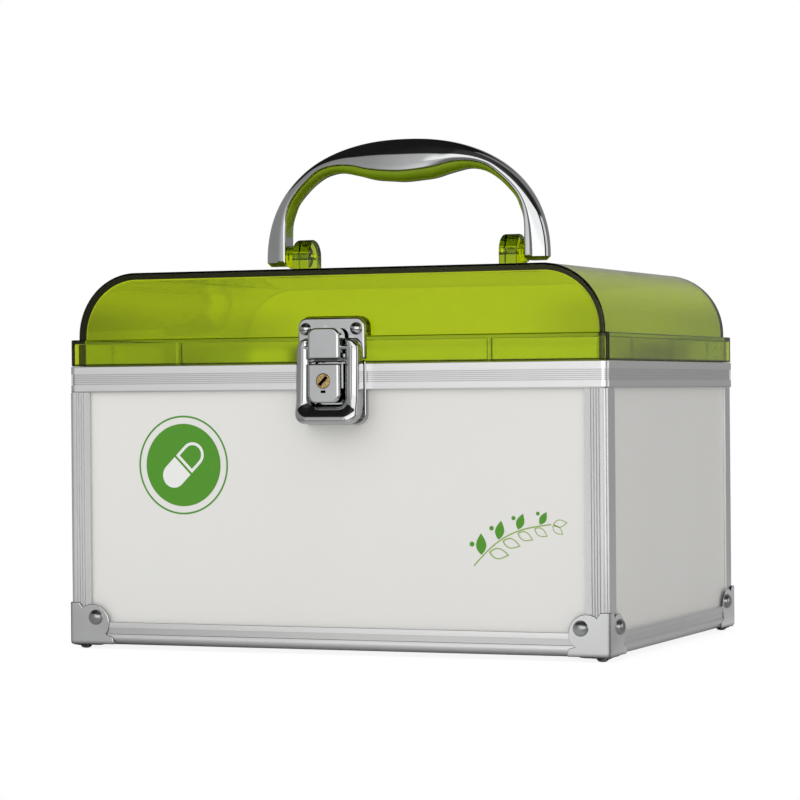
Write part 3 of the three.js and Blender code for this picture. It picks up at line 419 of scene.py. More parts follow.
def drawn_aluminium(name, scales, shade, groove_shade):
    def lines(graph, place):
        drawn = graph.node("ShaderNodeVectorMath", {0: place, 1: scales}, {"operation": "MULTIPLY"})
        return graph.noise(drawn, 1.0, 4, 0.65)

    def colour(graph, place):
        share = lines(graph, place) * 0.7 + graph.noise(place, 22, 3) * 0.3
        metal = graph.mix(share, tuple(METAL_GREY * shade), tuple(METAL_PALE * shade))
        return darkened(graph, metal, groove_shade)

    def roughness(graph, place):
        return 0.24 + 0.14 * lines(graph, place)

    return finish(name, colour, roughness, lines, 0.00002, METAL)


# Painted shade: the side rails' copy is a little darker than the front rails', the posts' darker
# still, and each copy paints its own depth of shade from the mesh.
aluminium_x = drawn_aluminium("aluminium_x", (ALONG, ACROSS, ACROSS), 1.0, 0.32)
aluminium_y = drawn_aluminium("aluminium_y", (ACROSS, ALONG, ACROSS), 0.97, 0.16)
aluminium_z = drawn_aluminium("aluminium_z", (ACROSS, ACROSS, ALONG), 0.95, 0.4)
print(aluminium_x.name, aluminium_y.name, aluminium_z.name)

# %% [markdown]
# ### Pressed steel
# The corner brackets are pressed from bright sheet. It is cloudy, with fine scratches in
# every direction. The faces on the case's right side get a painted lighter tint, standing in
# for the light they catch, and shade is painted behind the sheet's rims.

# %% Pressed steel
STEEL_GREY, STEEL_PALE, STEEL_PAINTED_LIGHT = (0.70, 0.705, 0.71), (0.80, 0.80, 0.805), (0.99, 0.99, 0.995)
SCRATCH_SCALE, SIDE_SOFTNESS = (120, 4200, 4200), 0.4


def scratched(turn):
    """Fine straight scratches at an angle."""

    def height(graph, place):
        given = {"Vector": place, "Rotation": turn, "Scale": SCRATCH_SCALE}
        return graph.noise(graph.node("ShaderNodeMapping", given), 1.0, 3)

    return height


def steel_colour(graph, place):
    # Painted light: a lighter tint on the faces at the case's right side. Painted shade from the
    # mesh darkens the rims.
    side = graph.parts(place)[0].step((HALF_WIDTH - SIDE_SOFTNESS) * MM, HALF_WIDTH * MM)
    metal = clouded(STEEL_GREY, STEEL_PALE, 40)(graph, place)
    return darkened(graph, graph.mix(side, metal, STEEL_PAINTED_LIGHT), 0.8)


def steel_bump(graph, place):
    return scratched((0.4, 0.3, 0.7))(graph, place) + 0.3 * graph.noise(place, 120)


steel = finish("pressed_steel", steel_colour, uneven(0.13, 0.08, 70), steel_bump, 0.000004, METAL)
print(steel.name)

# %% [markdown]
# ### Rivets and chrome
# The rivets are smooth and dark, so that each shows a dark ring and a small white light. The
# chrome of the handle and the latch is nearly a mirror, with faint polishing marks.

# %% Rivet steel and chrome
rivet_tints = clouded((0.27, 0.274, 0.28), (0.42, 0.425, 0.43), 380)
rivet_steel = finish("rivet_steel", rivet_tints, uneven(0.20, 0.10, 500), fixed=METAL)
chrome_tints = clouded((0.43, 0.434, 0.439), (0.49, 0.493, 0.498), 120)
polish = scratched((0.1, 0.2, 0.5))
chrome = finish("chrome", chrome_tints, uneven(0.03, 0.05, 240, 4), polish, 0.000001, METAL)
print(rivet_steel.name, chrome.name)

# %% [markdown]
# ### Brass
# The key cylinder is cut brass, so its face is speckled and rough. Its slot is a real cut,
# but a narrow one still catches light, so shade is painted into it: the colour turns nearly
# black behind the face.

# %% Brass
BRASS_DARK, BRASS_PALE, SLOT_PAINTED_SHADE = (0.30, 0.19, 0.06), (0.72, 0.54, 0.25), (0.02, 0.012, 0.006)
SLOT_DEPTH = (-0.1026, -0.1022)


def brass_colour(graph, place):
    metal = graph.mix(graph.noise(place, 1500, 3).step(0.35, 0.65), BRASS_DARK, BRASS_PALE)
    # Painted shade: nearly black inside the slot, behind the face.
    return graph.mix(graph.parts(place)[1].step(*SLOT_DEPTH) * 0.96, metal, SLOT_PAINTED_SHADE)


brass = finish("brass", brass_colour, uneven(0.22, 0.25, 1800), grained(1600), 0.00006, METAL)
print(brass.name)

# %% [markdown]
# ### Clear green plastic
# The lid is moulded in clear green. Part of the tint is on the surface and part is in the
# body of the plastic, so a wall seen through its thickness is a fresh green while an edge
# seen along its length goes nearly black, as it does on the real lid. The surface tint
# changes with the place: it is paler on the skirt, and shade is painted into it at the
# shoulders, the sides, the ledge and the lower rim, where it is deeper.

# %% Clear green plastic
GREEN_BODY, GREEN_DENSITY = (0.80, 0.84, 0.06), 300.0
DOME_DEEP, DOME_PALE, DOME_EDGE_SHADE = (0.70, 0.775, 0.02), (0.745, 0.81, 0.035), (0.50, 0.56, 0.06)
SKIRT_DEEP, SKIRT_PALE = (0.88, 0.935, 0.13), (0.92, 0.955, 0.17)
SIDE_SHADE_GREEN, LEDGE_SHADE_GREEN, RIM_SHADOW_GREEN = (0.44, 0.50, 0.13), (0.45, 0.55, 0.05), (0.10, 0.13, 0.02)
# Heights and reaches from the middle, in metres, at which a tint or a painted shade changes.
DOME_FOOT, RIM_TOP, LEDGE_BAND = (0.1388, 0.1396), (0.1297, 0.1302), (0.1394, 0.1410, 0.0001)
EDGE_REACH, EDGE_TOP, SIDE_REACH = (0.080, 0.1267), (0.148, 0.164), (0.1275, 0.1285)


def green_colour(graph, place):
    x, _, height = graph.parts(place)
    reach, clouds = x.math("ABSOLUTE"), graph.noise(place, 9)
    # Painted shade: deeper towards the dome's shoulders, on the side walls and as a line at the
    # ledge; a painted shadow along the lower rim.
    edge = reach.step(*EDGE_REACH) * (1 - height.step(*EDGE_TOP))
    dome = graph.mix(edge * 0.9, graph.mix(clouds, DOME_DEEP, DOME_PALE), DOME_EDGE_SHADE)
    skirt = graph.mix(clouds, SKIRT_DEEP, SKIRT_PALE)
    tint = graph.mix(height.step(*DOME_FOOT), skirt, dome)
    tint = graph.mix(reach.step(*SIDE_REACH), tint, SIDE_SHADE_GREEN)
    tint = graph.mix(height.between(*LEDGE_BAND) * 0.4, tint, LEDGE_SHADE_GREEN)
    return graph.mix((1 - height.step(*RIM_TOP)) * 0.95, tint, RIM_SHADOW_GREEN)


def green_roughness(graph, place):
    hazy = 1 - graph.parts(place)[2].step(*DOME_FOOT)
    return uneven(0.015, 0.02, 180)(graph, place) + 0.07 * hazy


CLEAR = {"Transmission Weight": 1.0, "IOR": 1.49, "Specular Tint": (0.7, 0.75, 0.4)}
green_parts = (green_colour, green_roughness, grained(26, 1.5), 0.00004)
clear_green = finish("clear_green", *green_parts, CLEAR, (GREEN_BODY, GREEN_DENSITY))
print(clear_green.name)

# %% [markdown]
# The handle's insert is the same plastic backed by the chrome shell, which gives it an even,
# deeper green. Clear plastic on a mirror takes very many samples to settle, so the insert is
# a glossy opaque green of the colour that the eye sees.

# %% Insert green
insert_tints = clouded((0.21, 0.32, 0.012), (0.28, 0.41, 0.016), 60, 2)
insert_green = finish("insert_green", insert_tints, uneven(0.10, 0.05, 180), fixed={"IOR": 1.49})
print("materials:", len(bpy.data.materials))

# %% [markdown]
# ## Tools for making pieces
# Every finished piece is one mesh with its place in its vertices. It rides on a CAD body and
# stands for the CAD solids that it covers. Modifiers do the heavy work on a host object that
# goes away afterwards, so nothing live is left on a piece. Weighted normals keep large flat
# faces flat in the light while the small rounds beside them stay smooth.

# %% Piece tools
MERGE = 1e-6


def baked(host):
    """The plain mesh that a host's modifiers make. The host goes away."""
    graph = bpy.context.evaluated_depsgraph_get()
    result = bpy.data.meshes.new_from_object(host.evaluated_get(graph))
    bpy.data.objects.remove(host)
    return result


def with_modifiers(mesh, *steps):
    """The mesh after a row of modifiers, each given as its kind and its settings."""
    host = placed("host", mesh)
    for kind, settings in steps:
        modifier = host.modifiers.new(kind, kind)
        for key, value in settings.items():
            setattr(modifier, key, value)
    return baked(host)


def piece(name, mesh, body, slot, material, *stands_for, smooth=40):
    """Gives a mesh its finish and its body, and hides the CAD solids it stands for."""
    mesh.shade_smooth()
    mesh.set_sharp_from_angle(angle=math.radians(smooth))
    mesh = with_modifiers(mesh, ("WEIGHTED_NORMAL", {"keep_sharp": True}))
    mesh.name = name
    mesh.materials.clear()
    mesh.materials.append(material)
    made = placed(name, mesh)
    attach(made, body)
    if stands_for:
        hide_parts(*stands_for)
    print(name, len(mesh.polygons), "faces")


print("pieces ride on their bodies")

# %% [markdown]
# Most forms here are skins: rings of points, joined by faces and capped at both ends. A
# modelled cube with bevels could do the same, but rings keep every radius a plain number.

# %% Outlines and skins


def arc(cx, cy, radius, start, end, steps=8):
    """Points on a circle between two angles in degrees."""
    angles = [math.radians(start + (end - start) * i / steps) for i in range(steps + 1)]
    return [(cx + radius * math.cos(a), cy + radius * math.sin(a)) for a in angles]


def circle(cx, cy, radius, sides):
    return arc(cx, cy, radius, 0, 360 - 360 / sides, sides - 1)


def quarter(steps):
    """How far a quarter round has drawn in, and how much of its depth is left, step by step."""
    angles = [math.radians(90 * i / steps) for i in range(steps + 1)]
    return [(1 - math.cos(a), 1 - math.sin(a)) for a in angles]


def rounded(x0, z0, x1, z1, low, high, steps=8):
    """A rectangle with one radius for its two low corners and one for its two high ones."""
    left, right, under, over = x0 + low, x1 - low, z0 + low, z1 - high
    lower = arc(left, under, low, 180, 270, steps) + arc(right, under, low, 270, 360, steps)
    left, right = x0 + high, x1 - high
    return lower + arc(right, over, high, 0, 90, steps) + arc(left, over, high, 90, 180, steps)


def to_mesh(work):
    """A mesh from a bmesh, with its doubles merged and its faces turned outwards."""
    bmesh.ops.remove_doubles(work, verts=work.verts, dist=MERGE)
    bmesh.ops.recalc_face_normals(work, faces=work.faces)
    return written(work)


def skin(rings, loop=False):
    """A closed mesh through rings of as many points each, capped or led round in a loop."""
    work = bmesh.new()
    rows = [[work.verts.new(Vector(p) * MM) for p in points] for points in rings]
    for low, high in zip(rows, rows[1:] + rows[:1] if loop else rows[1:]):
        for i in range(len(low)):
            k = (i + 1) % len(low)
            work.faces.new((low[i], low[k], high[k], high[i]))
    if not loop:
        work.faces.new(rows[0][::-1])
        work.faces.new(rows[-1])
    return to_mesh(work)


print("outlines and skins ready")

# %% [markdown]
# Other pieces start from the CAD solids or from each other: a copy whose edges are rolled,
# cuts by exact Booleans, and several meshes held in one.

# %% Copies and cuts


def opened(*meshes):
    work = bmesh.new()
    for mesh in meshes:
        work.from_mesh(mesh)
    return work


def joined(*meshes):
    return written(opened(*meshes))


def outward(mesh):
    """Turns a closed mesh's faces outwards if it was made inside out."""
    return to_mesh(opened(mesh))


def rolled_copy(node, soften, angle, moved=None):
    """A CAD solid's mesh with its sharp edges rolled and its points moved."""
    bare = nodes[node].data.copy()
    bare.attributes.remove(bare.attributes["custom_normal"])
    work = opened(bare)
    bmesh.ops.remove_doubles(work, verts=work.verts, dist=MERGE)
    limit = math.radians(1)
    bmesh.ops.dissolve_limit(work, angle_limit=limit, verts=work.verts, edges=work.edges)
    sharp = [e for e in work.edges if e.calc_face_angle(0) > math.radians(angle)]
    given = {"offset": soften * MM, "segments": 2, "profile": 0.5}
    bmesh.ops.bevel(work, geom=sharp, affect="EDGES", clamp_overlap=False, **given)
    for vertex in work.verts if moved else ():
        vertex.co = moved(vertex.co / MM) * MM
    return to_mesh(work)


def carved(mesh, *steps):
    """The mesh after a row of exact Booleans, each given as an operation and a mesh."""
    tools = [(operation, placed("tool", tool)) for operation, tool in steps]
    settings = [{"operation": o, "solver": "EXACT", "object": held} for o, held in tools]
    result = with_modifiers(mesh, *(("BOOLEAN", given) for given in settings))
    for _, held in tools:
        bpy.data.objects.remove(held)
    return result


def cut(mesh, *cutters):
    """The mesh less each cutter."""
    return carved(mesh, *(("DIFFERENCE", cutter) for cutter in cutters))


print("copies and cuts ready")

# %% [markdown]
# ## Geometry Nodes from Python
# A tree is built once with named inputs and then used for many pieces. The modifier's inputs
# are set by their identifiers, and the evaluated object is turned into a plain mesh.

# %% Geometry Nodes helpers


def geometry_tree(name, *inputs):
    """The graph of an empty tree with named inputs, and the inputs' signals."""
    tree = bpy.data.node_groups.new(name, "GeometryNodeTree")
    tree.interface.new_socket("Geometry", in_out="OUTPUT", socket_type="NodeSocketGeometry")
    kinds = {"Geometry": "Geometry", **dict.fromkeys(inputs, "Float"), "Material": "Material"}
    for label, kind in kinds.items():
        tree.interface.new_socket(label, in_out="INPUT", socket_type=f"NodeSocket{kind}")
    graph = Graph(tree)
    start = tree.nodes.new("NodeGroupInput")
    return graph, {s.name: Signal(graph, s) for s in start.outputs if s.name}


def close_tree(graph, geometry, given):
    """Ends a tree with real geometry and its material."""
    real = graph.node("GeometryNodeRealizeInstances", {"Geometry": geometry})
    ends = {"Geometry": real, "Material": given["Material"]}
    graph.node("NodeGroupOutput", {"Geometry": graph.node("GeometryNodeSetMaterial", ends)})
    return graph.tree


def grown(host_mesh, tree, **values):
    """The plain mesh that a tree makes from a host mesh and the values of its inputs."""
    host = placed("host", host_mesh)
    modifier = host.modifiers.new("nodes", "NODES")
    modifier.node_group = tree
    for item in tree.interface.items_tree:
        key = item.name.replace(" ", "_").lower()
        if item.in_out == "INPUT" and key in values:
            modifier[item.identifier] = values[key]
    return baked(host)


print("trees can be built and used")

# %% Values kept on points


def store(graph, geometry, name, value):
    """The geometry with a number kept on each point."""
    given = {"Geometry": geometry, "Name": name, "Value": value}
    return graph.node("GeometryNodeStoreNamedAttribute", given, {"data_type": "FLOAT"})


def kept(graph, name, kind="FLOAT"):
    return graph.node("GeometryNodeInputNamedAttribute", {"Name": name}, {"data_type": kind})


def moved_to(graph, geometry, place):
    return graph.node("GeometryNodeSetPosition", {"Geometry": geometry, "Position": place})


print("points can keep values")

# %% [markdown]
# ## Rails
# Four drawn rails close the case at the top and four at the bottom. Each is one section swept
# along a side, mitred at its ends and rolled round the case's corner. That is a rule, so a
# Geometry Nodes tree makes all eight: the section is swept along a line, and each point is
# then set from how far in it lies, how high it is and which station it belongs to.

# %% Rail tree
CORNER_STEPS, MITRE_SHADE = 6, 1.3
RAIL_STATIONS = 2 * (CORNER_STEPS + 1)


def rail_tree():
    labels = ("Half Length", "Corner Radius", "Face", "Base", "Seam", "Turn")
    graph, given = geometry_tree("mitred_rail", *labels)
    x, y, _ = graph.parts(graph.node("GeometryNodeInputPosition"))
    section = graph.node("GeometryNodeMeshToCurve", {"Mesh": given["Geometry"]})
    section = store(graph, store(graph, section, "inward", x), "height", y)
    line = graph.node("GeometryNodeCurvePrimitiveLine", {"End": (1, 0, 0)})
    line = graph.node("GeometryNodeResampleCurve", {"Curve": line, "Count": RAIL_STATIONS})
    line = store(graph, line, "station", graph.node("GeometryNodeInputIndex"))
    parts = {"Curve": line, "Profile Curve": section, "Fill Caps": True}
    swept = graph.node("GeometryNodeCurveToMesh", parts)

    inward, height, station = (kept(graph, n) for n in ("inward", "height", "station"))
    far = station.math("GREATER_THAN", CORNER_STEPS + 0.5)
    near_end = 1 - choose(far, station, RAIL_STATIONS - 1 - station) / CORNER_STEPS
    angle, radius = near_end * math.radians(45), given["Corner Radius"]
    deep, left = inward.math("GREATER_THAN", radius), radius - inward
    reach = angle.math("SINE") * left
    along = given["Half Length"] - radius + choose(deep, reach, reach * math.sqrt(2))
    along = (along - given["Seam"] * near_end) * (far * 2 - 1)
    depth = choose(deep, radius - angle.math("COSINE") * left, inward)
    place = graph.vector(along, depth - given["Face"], height + given["Base"])
    # Painted shade: the rounded corner darkens towards the mitre, added to the section's own
    # painted shade.
    shade = kept(graph, "groove") + near_end * MITRE_SHADE
    moved = store(graph, moved_to(graph, swept, place), "groove", shade)
    ends = {"Geometry": moved, "Rotation": graph.vector(0.0, 0.0, given["Turn"])}
    ends["Translation"] = (0, MIDDLE * MM, 0)
    return close_tree(graph, graph.node("GeometryNodeTransform", ends), given)


rail_rule = rail_tree()
print("rail tree:", len(rail_rule.nodes), "nodes")

# %% [markdown]
# The top rail's face has a plain band above six fine grooves and another below them. The
# bottom rail has a flat shoulder, a shallow band and a rounded lower edge. Both sections run
# round the board's edge, so the board stands in a slot. Each section carries painted shade:
# dark at the bottoms of the grooves and wherever the metal turns down to the floor.

# %% Rail sections
RAIL_EDGE, TOP_RAIL, BOTTOM_RAIL = 0.35, 11.8, 9.8


def grooves(start, pitch, count, width, deep):
    """The corners of a row of square grooves, as (place, depth)."""
    row = []
    for low in (start + i * pitch for i in range(count)):
        row += [(low, 0), (low, deep), (low + width, deep), (low + width, 0)]
    return row


def top_section():
    face = [(depth, place) for place, depth in grooves(3.5, 0.86, 6, 0.4, 0.7)]
    lower = arc(RAIL_EDGE, RAIL_EDGE, RAIL_EDGE, 270, 180, 3)
    upper = arc(RAIL_EDGE, TOP_RAIL - RAIL_EDGE, RAIL_EDGE, 180, 90, 3)
    inside = [(5.9, TOP_RAIL), (5.9, 0), (4.9, 0), (4.9, 10.6), (1.7, 10.6), (1.7, 0)]
    return lower + [(0, 0.9)] + face + upper + inside


def bottom_section():
    ridge = [(0.12, 4.2), (0.35, 4.4), (0.12, 7.2), (0, 7.35)]
    upper = arc(RAIL_EDGE, BOTTOM_RAIL - RAIL_EDGE, RAIL_EDGE, 180, 90, 3)
    inside = [(1.7, BOTTOM_RAIL), (1.7, 1.3), (9.8, 1.3), (9.8, 0)]
    return arc(3.65, 3.0, 3.6, 270, 180, 12) + ridge + upper + inside


def top_shade(point):
    """Painted shade: 1 at the bottoms of the grooves, and a dark line at the lower edge."""
    return (0.6 < point.x < 0.8 and 3 < point.y < 9) or 0.8 * (point.x < 1 and point.y < 0.36)


def bottom_shade(point):
    """Painted shade: a little on the band, and more on the round edge as it turns to the floor."""
    if point.x > 4:
        return 0
    return 0.6 if 4 < point.y < 7.3 else min(max((3 - point.y) * 0.75, 0), 1.8)


print("sections of", len(top_section()), "and", len(bottom_section()), "points")

# %% Rails
RAIL_CORNER, SEAM = 3.2, 0.06


def shaded(mesh, shade):
    """Stores on each point how much shade is painted there, for the metal's colour to read."""
    groove = mesh.attributes.new("groove", "FLOAT", "POINT")
    for vertex, value in zip(mesh.vertices, groove.data):
        value.value = float(shade(vertex.co / MM))
    return mesh


def outline_mesh(points, shade):
    """A closed loop of edges that a tree can sweep."""
    work = bmesh.new()
    loop = [work.verts.new((x * MM, y * MM, 0)) for x, y in points]
    for pair in zip(loop, loop[1:] + loop[:1]):
        work.edges.new(pair)
    return shaded(written(work), shade)


outlines = {"top": (top_section(), top_shade), "bottom": (bottom_section(), bottom_shade)}
wide, deep = (HALF_WIDTH, HALF_DEPTH, aluminium_x), (HALF_DEPTH, HALF_WIDTH, aluminium_y)
for level, outline in outlines.items():
    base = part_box(f"{level}_rail_front")[0].z
    for i, side in enumerate(("front", "right", "back", "left")):
        half, face, metal = deep if i % 2 else wide
        sizes = {"half_length": half * MM, "face": face * MM, "base": base, "material": metal}
        sizes.update(corner_radius=RAIL_CORNER * MM, seam=SEAM * MM, turn=i * math.pi / 2)
        rail = outward(grown(outline_mesh(*outline), rail_rule, **sizes))
        node = f"{level}_rail_{side}"
        piece(f"{node}_drawn", rail, "case", "aluminium", metal, node)

# %% [markdown]
# ## Posts
# The corner posts are drawn too, with one grooved flange and one plain one. A post is the
# same all the way up, so its section is skinned from the bottom rail to the top rail. On each
# diagonal the grooved flange changes wing, so that the grooves show on the front and the back
# of the case. The right-hand posts are rounder, and shade is painted on them: their corner is
# the darkest strip, and their grooved flange is darker too. Shade is painted lightly in the
# grooves and on the corner of the left-hand posts.

# %% Posts
CORNERS = ("front_left", "front_right", "back_right", "back_left")
OUT_LEFT, OUT_RIGHT, OUT_Y = 0.75, 0.1, 0.4
LEFT_RADIUS, RIGHT_RADIUS, CORNER_SHADE = 2.0, 2.7, 1.5


def post_section(radius):
    """The outline from the outer corner, with the grooved flange along the first axis."""
    grooved = grooves(3.4, 1.25, 4, 0.45, 0.7)
    tip = [(10.3, 0), (10.3, 1), (4.9, 1), (4.9, 4.1), (9, 4.1), (9, 5.1), (5.1, 5.1), (5.1, 9)]
    rest = [(4.1, 9), (4.1, 4.9), (1, 4.9), (1, 10.3), (0, 10.3)]
    return arc(radius, radius, radius, 180, 270, 8) + grooved + tip + rest


def post(corner):
    low, high = (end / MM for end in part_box(f"corner_post_{corner}"))
    east, north = "right" in corner, "back" in corner
    edge_x = high.x + OUT_RIGHT if east else low.x - OUT_LEFT
    edge_y = high.y + OUT_Y if north else low.y - OUT_Y
    way_x, way_y = 2 * east - 1, 2 * north - 1
    section = post_section(RIGHT_RADIUS if east else LEFT_RADIUS)
    ring = [(edge_x - along * way_x, edge_y - across * way_y) for along, across in section]

    # Painted shade on the post's points: in the grooves and on the corner, and on the right posts'
    # grooved flange too.
    def shade(point):
        across, along = abs(point.y - edge_y), abs(point.x - edge_x)
        groove = 0.6 < across < 0.8 and 3 < along < 9
        if not east:
            return 0.4 * (groove or (across < 2.1 and along < 1.7))
        if across < 0.3 and along < 2.6:
            return CORNER_SHADE
        return 0.6 * (groove + (across < 0.9))

    return shaded(skin([[(x, y, z) for x, y in ring] for z in (low.z, high.z)]), shade)


for corner in CORNERS:
    node = f"corner_post_{corner}"
    piece(f"{node}_drawn", post(corner), "case", "aluminium", aluminium_z, node)

# %% [markdown]
# ## Rivets
# Twenty rivets of four sizes hold the brackets, the latch and the hinges. Copies of one
# model could be set by hand, but a rule keeps them true to their seats: a Geometry Nodes tree
# puts one rivet at every vertex of a small mesh and turns it to that vertex's facing. It has
# a domed head pressed from a sphere, a shank through the sheet and a small tail behind it.

# %% Rivet tree


def rivet_tree():
    labels = ("Head Radius", "Head Height", "Grip", "Shank Radius", "Tail Radius", "Tail Height")
    graph, given = geometry_tree("rivets", *labels)
    ball = graph.node("GeometryNodeMeshUVSphere", {"Segments": 32, "Rings": 24, "Radius": 1.0})
    x, y, z = graph.parts(graph.node("GeometryNodeInputPosition"))
    wide, small, grip = given["Head Radius"], given["Tail Radius"], given["Grip"]
    crown = z.math("MAXIMUM", 0) * given["Head Height"]
    sunk = z.math("MINIMUM", 0) * given["Tail Height"] - grip
    head = moved_to(graph, ball, graph.vector(x * wide, y * wide, crown))
    tail = moved_to(graph, ball, graph.vector(x * small, y * small, sunk))
    sizes = {"Vertices": 16, "Radius": given["Shank Radius"], "Depth": grip}
    rod = {"Geometry": graph.node("GeometryNodeMeshCylinder", sizes)}
    rod["Translation"] = graph.vector(0.0, 0.0, grip * -0.5)
    whole = graph.tree.nodes.new("GeometryNodeJoinGeometry")
    for part in (head, tail, graph.node("GeometryNodeTransform", rod)):
        graph.tree.links.new(part.socket, whole.inputs[0])
    toward = {"Vector": kept(graph, "facing", "FLOAT_VECTOR")}
    spread = {"Points": given["Geometry"], "Instance": Signal(graph, whole.outputs[0])}
    spread["Rotation"] = graph.node("FunctionNodeAlignRotationToVector", toward, {"axis": "Z"})
    return close_tree(graph, graph.node("GeometryNodeInstanceOnPoints", spread), given)


rivet_rule = rivet_tree()
print("rivet tree:", len(rivet_rule.nodes), "nodes")

# %% [markdown]
# A rivet's seat is read off its CAD node: its middle, and the face it goes through. A
# bracket's rivet is longest along the way it goes in, which tells its facing.

# %% Seats
BRACKET_OUT, WALL_IN, STRIKE_OUT, LEAF_OUT = 0.45, 0.3, 2.2, 1.0


def seats(places):
    """A mesh of loose vertices, each with the direction its rivet faces."""
    mesh = bpy.data.meshes.new("seats")
    mesh.from_pydata([Vector(p) * MM for p, _ in places], [], [])
    attribute = mesh.attributes.new("facing", "FLOAT_VECTOR", "POINT")
    for entry, (_, way) in zip(attribute.data, places):
        entry.vector = way
    return mesh


def on_bracket(middle, size):
    """A bracket's rivet faces along its longer side, away from the middle of the case."""
    if size.x > size.y:
        way = math.copysign(1, middle.x)
        return (way * (BRACKET_OUT + HALF_WIDTH - WALL_IN), middle.y, middle.z), (way, 0, 0)
    way = math.copysign(1, middle.y - MIDDLE)
    return (middle.x, way * (BRACKET_OUT + HALF_DEPTH) + MIDDLE, middle.z), (0, way, 0)


def on_face(way, out):
    """Seats that lie so far out from the front (way -1) or the back (way 1)."""
    face = FRONT if way < 0 else BACK
    return lambda middle, size: ((middle.x, face + way * out, middle.z), (0, way, 0))


print("seats ready")

# %% Rivets
SIZES = ("head_radius", "head_height", "grip", "shank_radius", "tail_radius", "tail_height")
SMALL = (1.1, 1.9, 0.8)
RIVETS = {
    "bracket": ("case", "rivet_steel", on_bracket, 3.5, 2.2, 6.35, 1.6, 2.6, 0.9),
    "strike": ("lid", "chrome", on_face(-1, STRIKE_OUT), 2.8, 2.3, 9.3, *SMALL),
    "base": ("case", "chrome", on_face(-1, LEAF_OUT), 2.2, 1.2, 5.8, *SMALL),
    "hinge_body": ("case", "rivet_steel", on_face(1, LEAF_OUT), 1.9, 0.9, 6.9, *SMALL),
    "hinge_lid": ("lid", "rivet_steel", on_face(1, LEAF_OUT), 1.9, 0.9, 3.1, *SMALL),
}
for kind, (body, slot, seat, *sizes) in RIVETS.items():
    metal = chrome if slot == "chrome" else rivet_steel
    found = sorted(n for n in nodes if n.startswith(f"{kind}_rivet"))
    boxes = [[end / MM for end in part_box(node)] for node in found]
    places = [seat((low + high) / 2, high - low) for low, high in boxes]
    metres = {key: size * MM for key, size in zip(SIZES, sizes)}
    made = outward(grown(seats(places), rivet_rule, material=metal, **metres))
    piece(f"{kind}_rivets", made, body, slot, metal, *found, smooth=50)

# %% [markdown]
# ## Brackets
# The pressed corners have the right form in the CAD model, so a copy of each is taken and its
# sharp edges are rolled, because a pressed edge always shows a thin bright rim. Its points
# are then moved: the sheet outside the rails is thinned, the dimple under it is drawn in, and
# the toe of the front right one is cut shorter, as in the photograph. Shade is painted on the
# rim, weaker on the foot, and sets the sheet off from the rail behind it.

# %% Brackets
FOOT_TOP, FOOT_SHARE = 1.65, 0.62
TOE_TOP, TOE_SHARE, WING_SHARE = 7.5, 0.87, 0.95
RIM_DEPTH, FOOT_SHADE = 0.2, 0.4
BRACKET_ROLL, LEAF_ROLL = (0.4, 40), (0.12, 60)


def pressed_corner(corner):
    """How a corner's points move: sheet thinned, foot drawn in, one toe cut."""
    foot = [v.co / MM for v in nodes[f"corner_bracket_{corner}"].data.vertices if v.co.z < 0.8 * MM]
    middle = sum(foot, Vector()) / len(foot)

    def move(point):
        x, y, z = point
        if z < FOOT_TOP:
            x, y = middle.x + (x - middle.x) * FOOT_SHARE, middle.y + (y - middle.y) * FOOT_SHARE
        if corner == "front_right" and y < FRONT + 2:
            x = HALF_WIDTH - (HALF_WIDTH - x) * (TOE_SHARE if z < TOE_TOP else WING_SHARE)
        out_x, out_y = abs(x) - HALF_WIDTH, abs(y - MIDDLE) - HALF_DEPTH
        x -= math.copysign(1 - BRACKET_OUT, x) * max(out_x, 0)
        y -= math.copysign(1 - BRACKET_OUT, y - MIDDLE) * max(out_y, 0)
        x -= math.copysign(WALL_IN, x) * (out_x > -2)
        return Vector((x, y, z))

    return move


def rim_shade(point):
    """Painted shade behind the sheet's outer faces, where a rim turns away."""
    gap_x = HALF_WIDTH + BRACKET_OUT - WALL_IN - abs(point.x)
    gap_y = HALF_DEPTH + BRACKET_OUT - abs(point.y - MIDDLE)
    dark = min(max(min(gap_x, gap_y) / RIM_DEPTH, 0), 1)
    return dark if point.z > FOOT_TOP else dark * FOOT_SHADE


for corner in CORNERS:
    node = f"corner_bracket_{corner}"
    pressed = shaded(rolled_copy(node, *BRACKET_ROLL, pressed_corner(corner)), rim_shade)
    piece(f"{node}_pressed", pressed, "case", "bracket_steel", steel, node)

# %% [markdown]
# ## Hinges
# Two plain leaf hinges carry the lid at the back. Their leaves are flat sheet, so the CAD
# copies only need a small roll on their edges.

# %% Hinge leaves
for side in ("left", "right"):
    for leaf, body in (("body", "case"), ("lid", "lid")):
        node = f"hinge_{leaf}_leaf_{side}"
        piece(f"{node}_pressed", rolled_copy(node, *LEAF_ROLL), body, "bracket_steel", steel, node)

# %% [markdown]
# ## Lid
# The lid is one clear moulding. It could be a thin shell with a thickness modifier, but clear
# plastic is drawn by what light does inside it: the front shows two thin walls, and the rim
# of the dome shows the full depth of the side walls and goes dark. So each form is its own
# solid with rounded ends, and exact Booleans join and hollow them as a mould would.

# %% Rounded solids
LID_LOW, LEDGE_Z, SKIRT_TOP, LID_TOP = 129.05, 139.3, 141.1, 171.4
SHOULDER, WALL_FRONT, WALL_SIDE = 28.8, 2.6, 3.0
DOME_FRONT, DOME_SIDE, DOME_ROUND = 4.5, 2.9, 1.0
SKIRT_INSET, SKIRT_WALL, SKIRT_RADIUS = 0.25, 2.0, 3
BELOW = 127.0


def rolled(outline_at, near, far, edge, ends=(True, True)):
    """A solid from one place to another whose ends draw in on a quarter round."""
    way, square = math.copysign(edge, far - near), [(0, 0)]
    start, end = (quarter(5) if rounds else square for rounds in ends)
    rings = [outline_at(near + way * gone, edge * left) for gone, left in start]
    return skin(rings + [outline_at(far - way * gone, edge * left) for gone, left in end[::-1]])


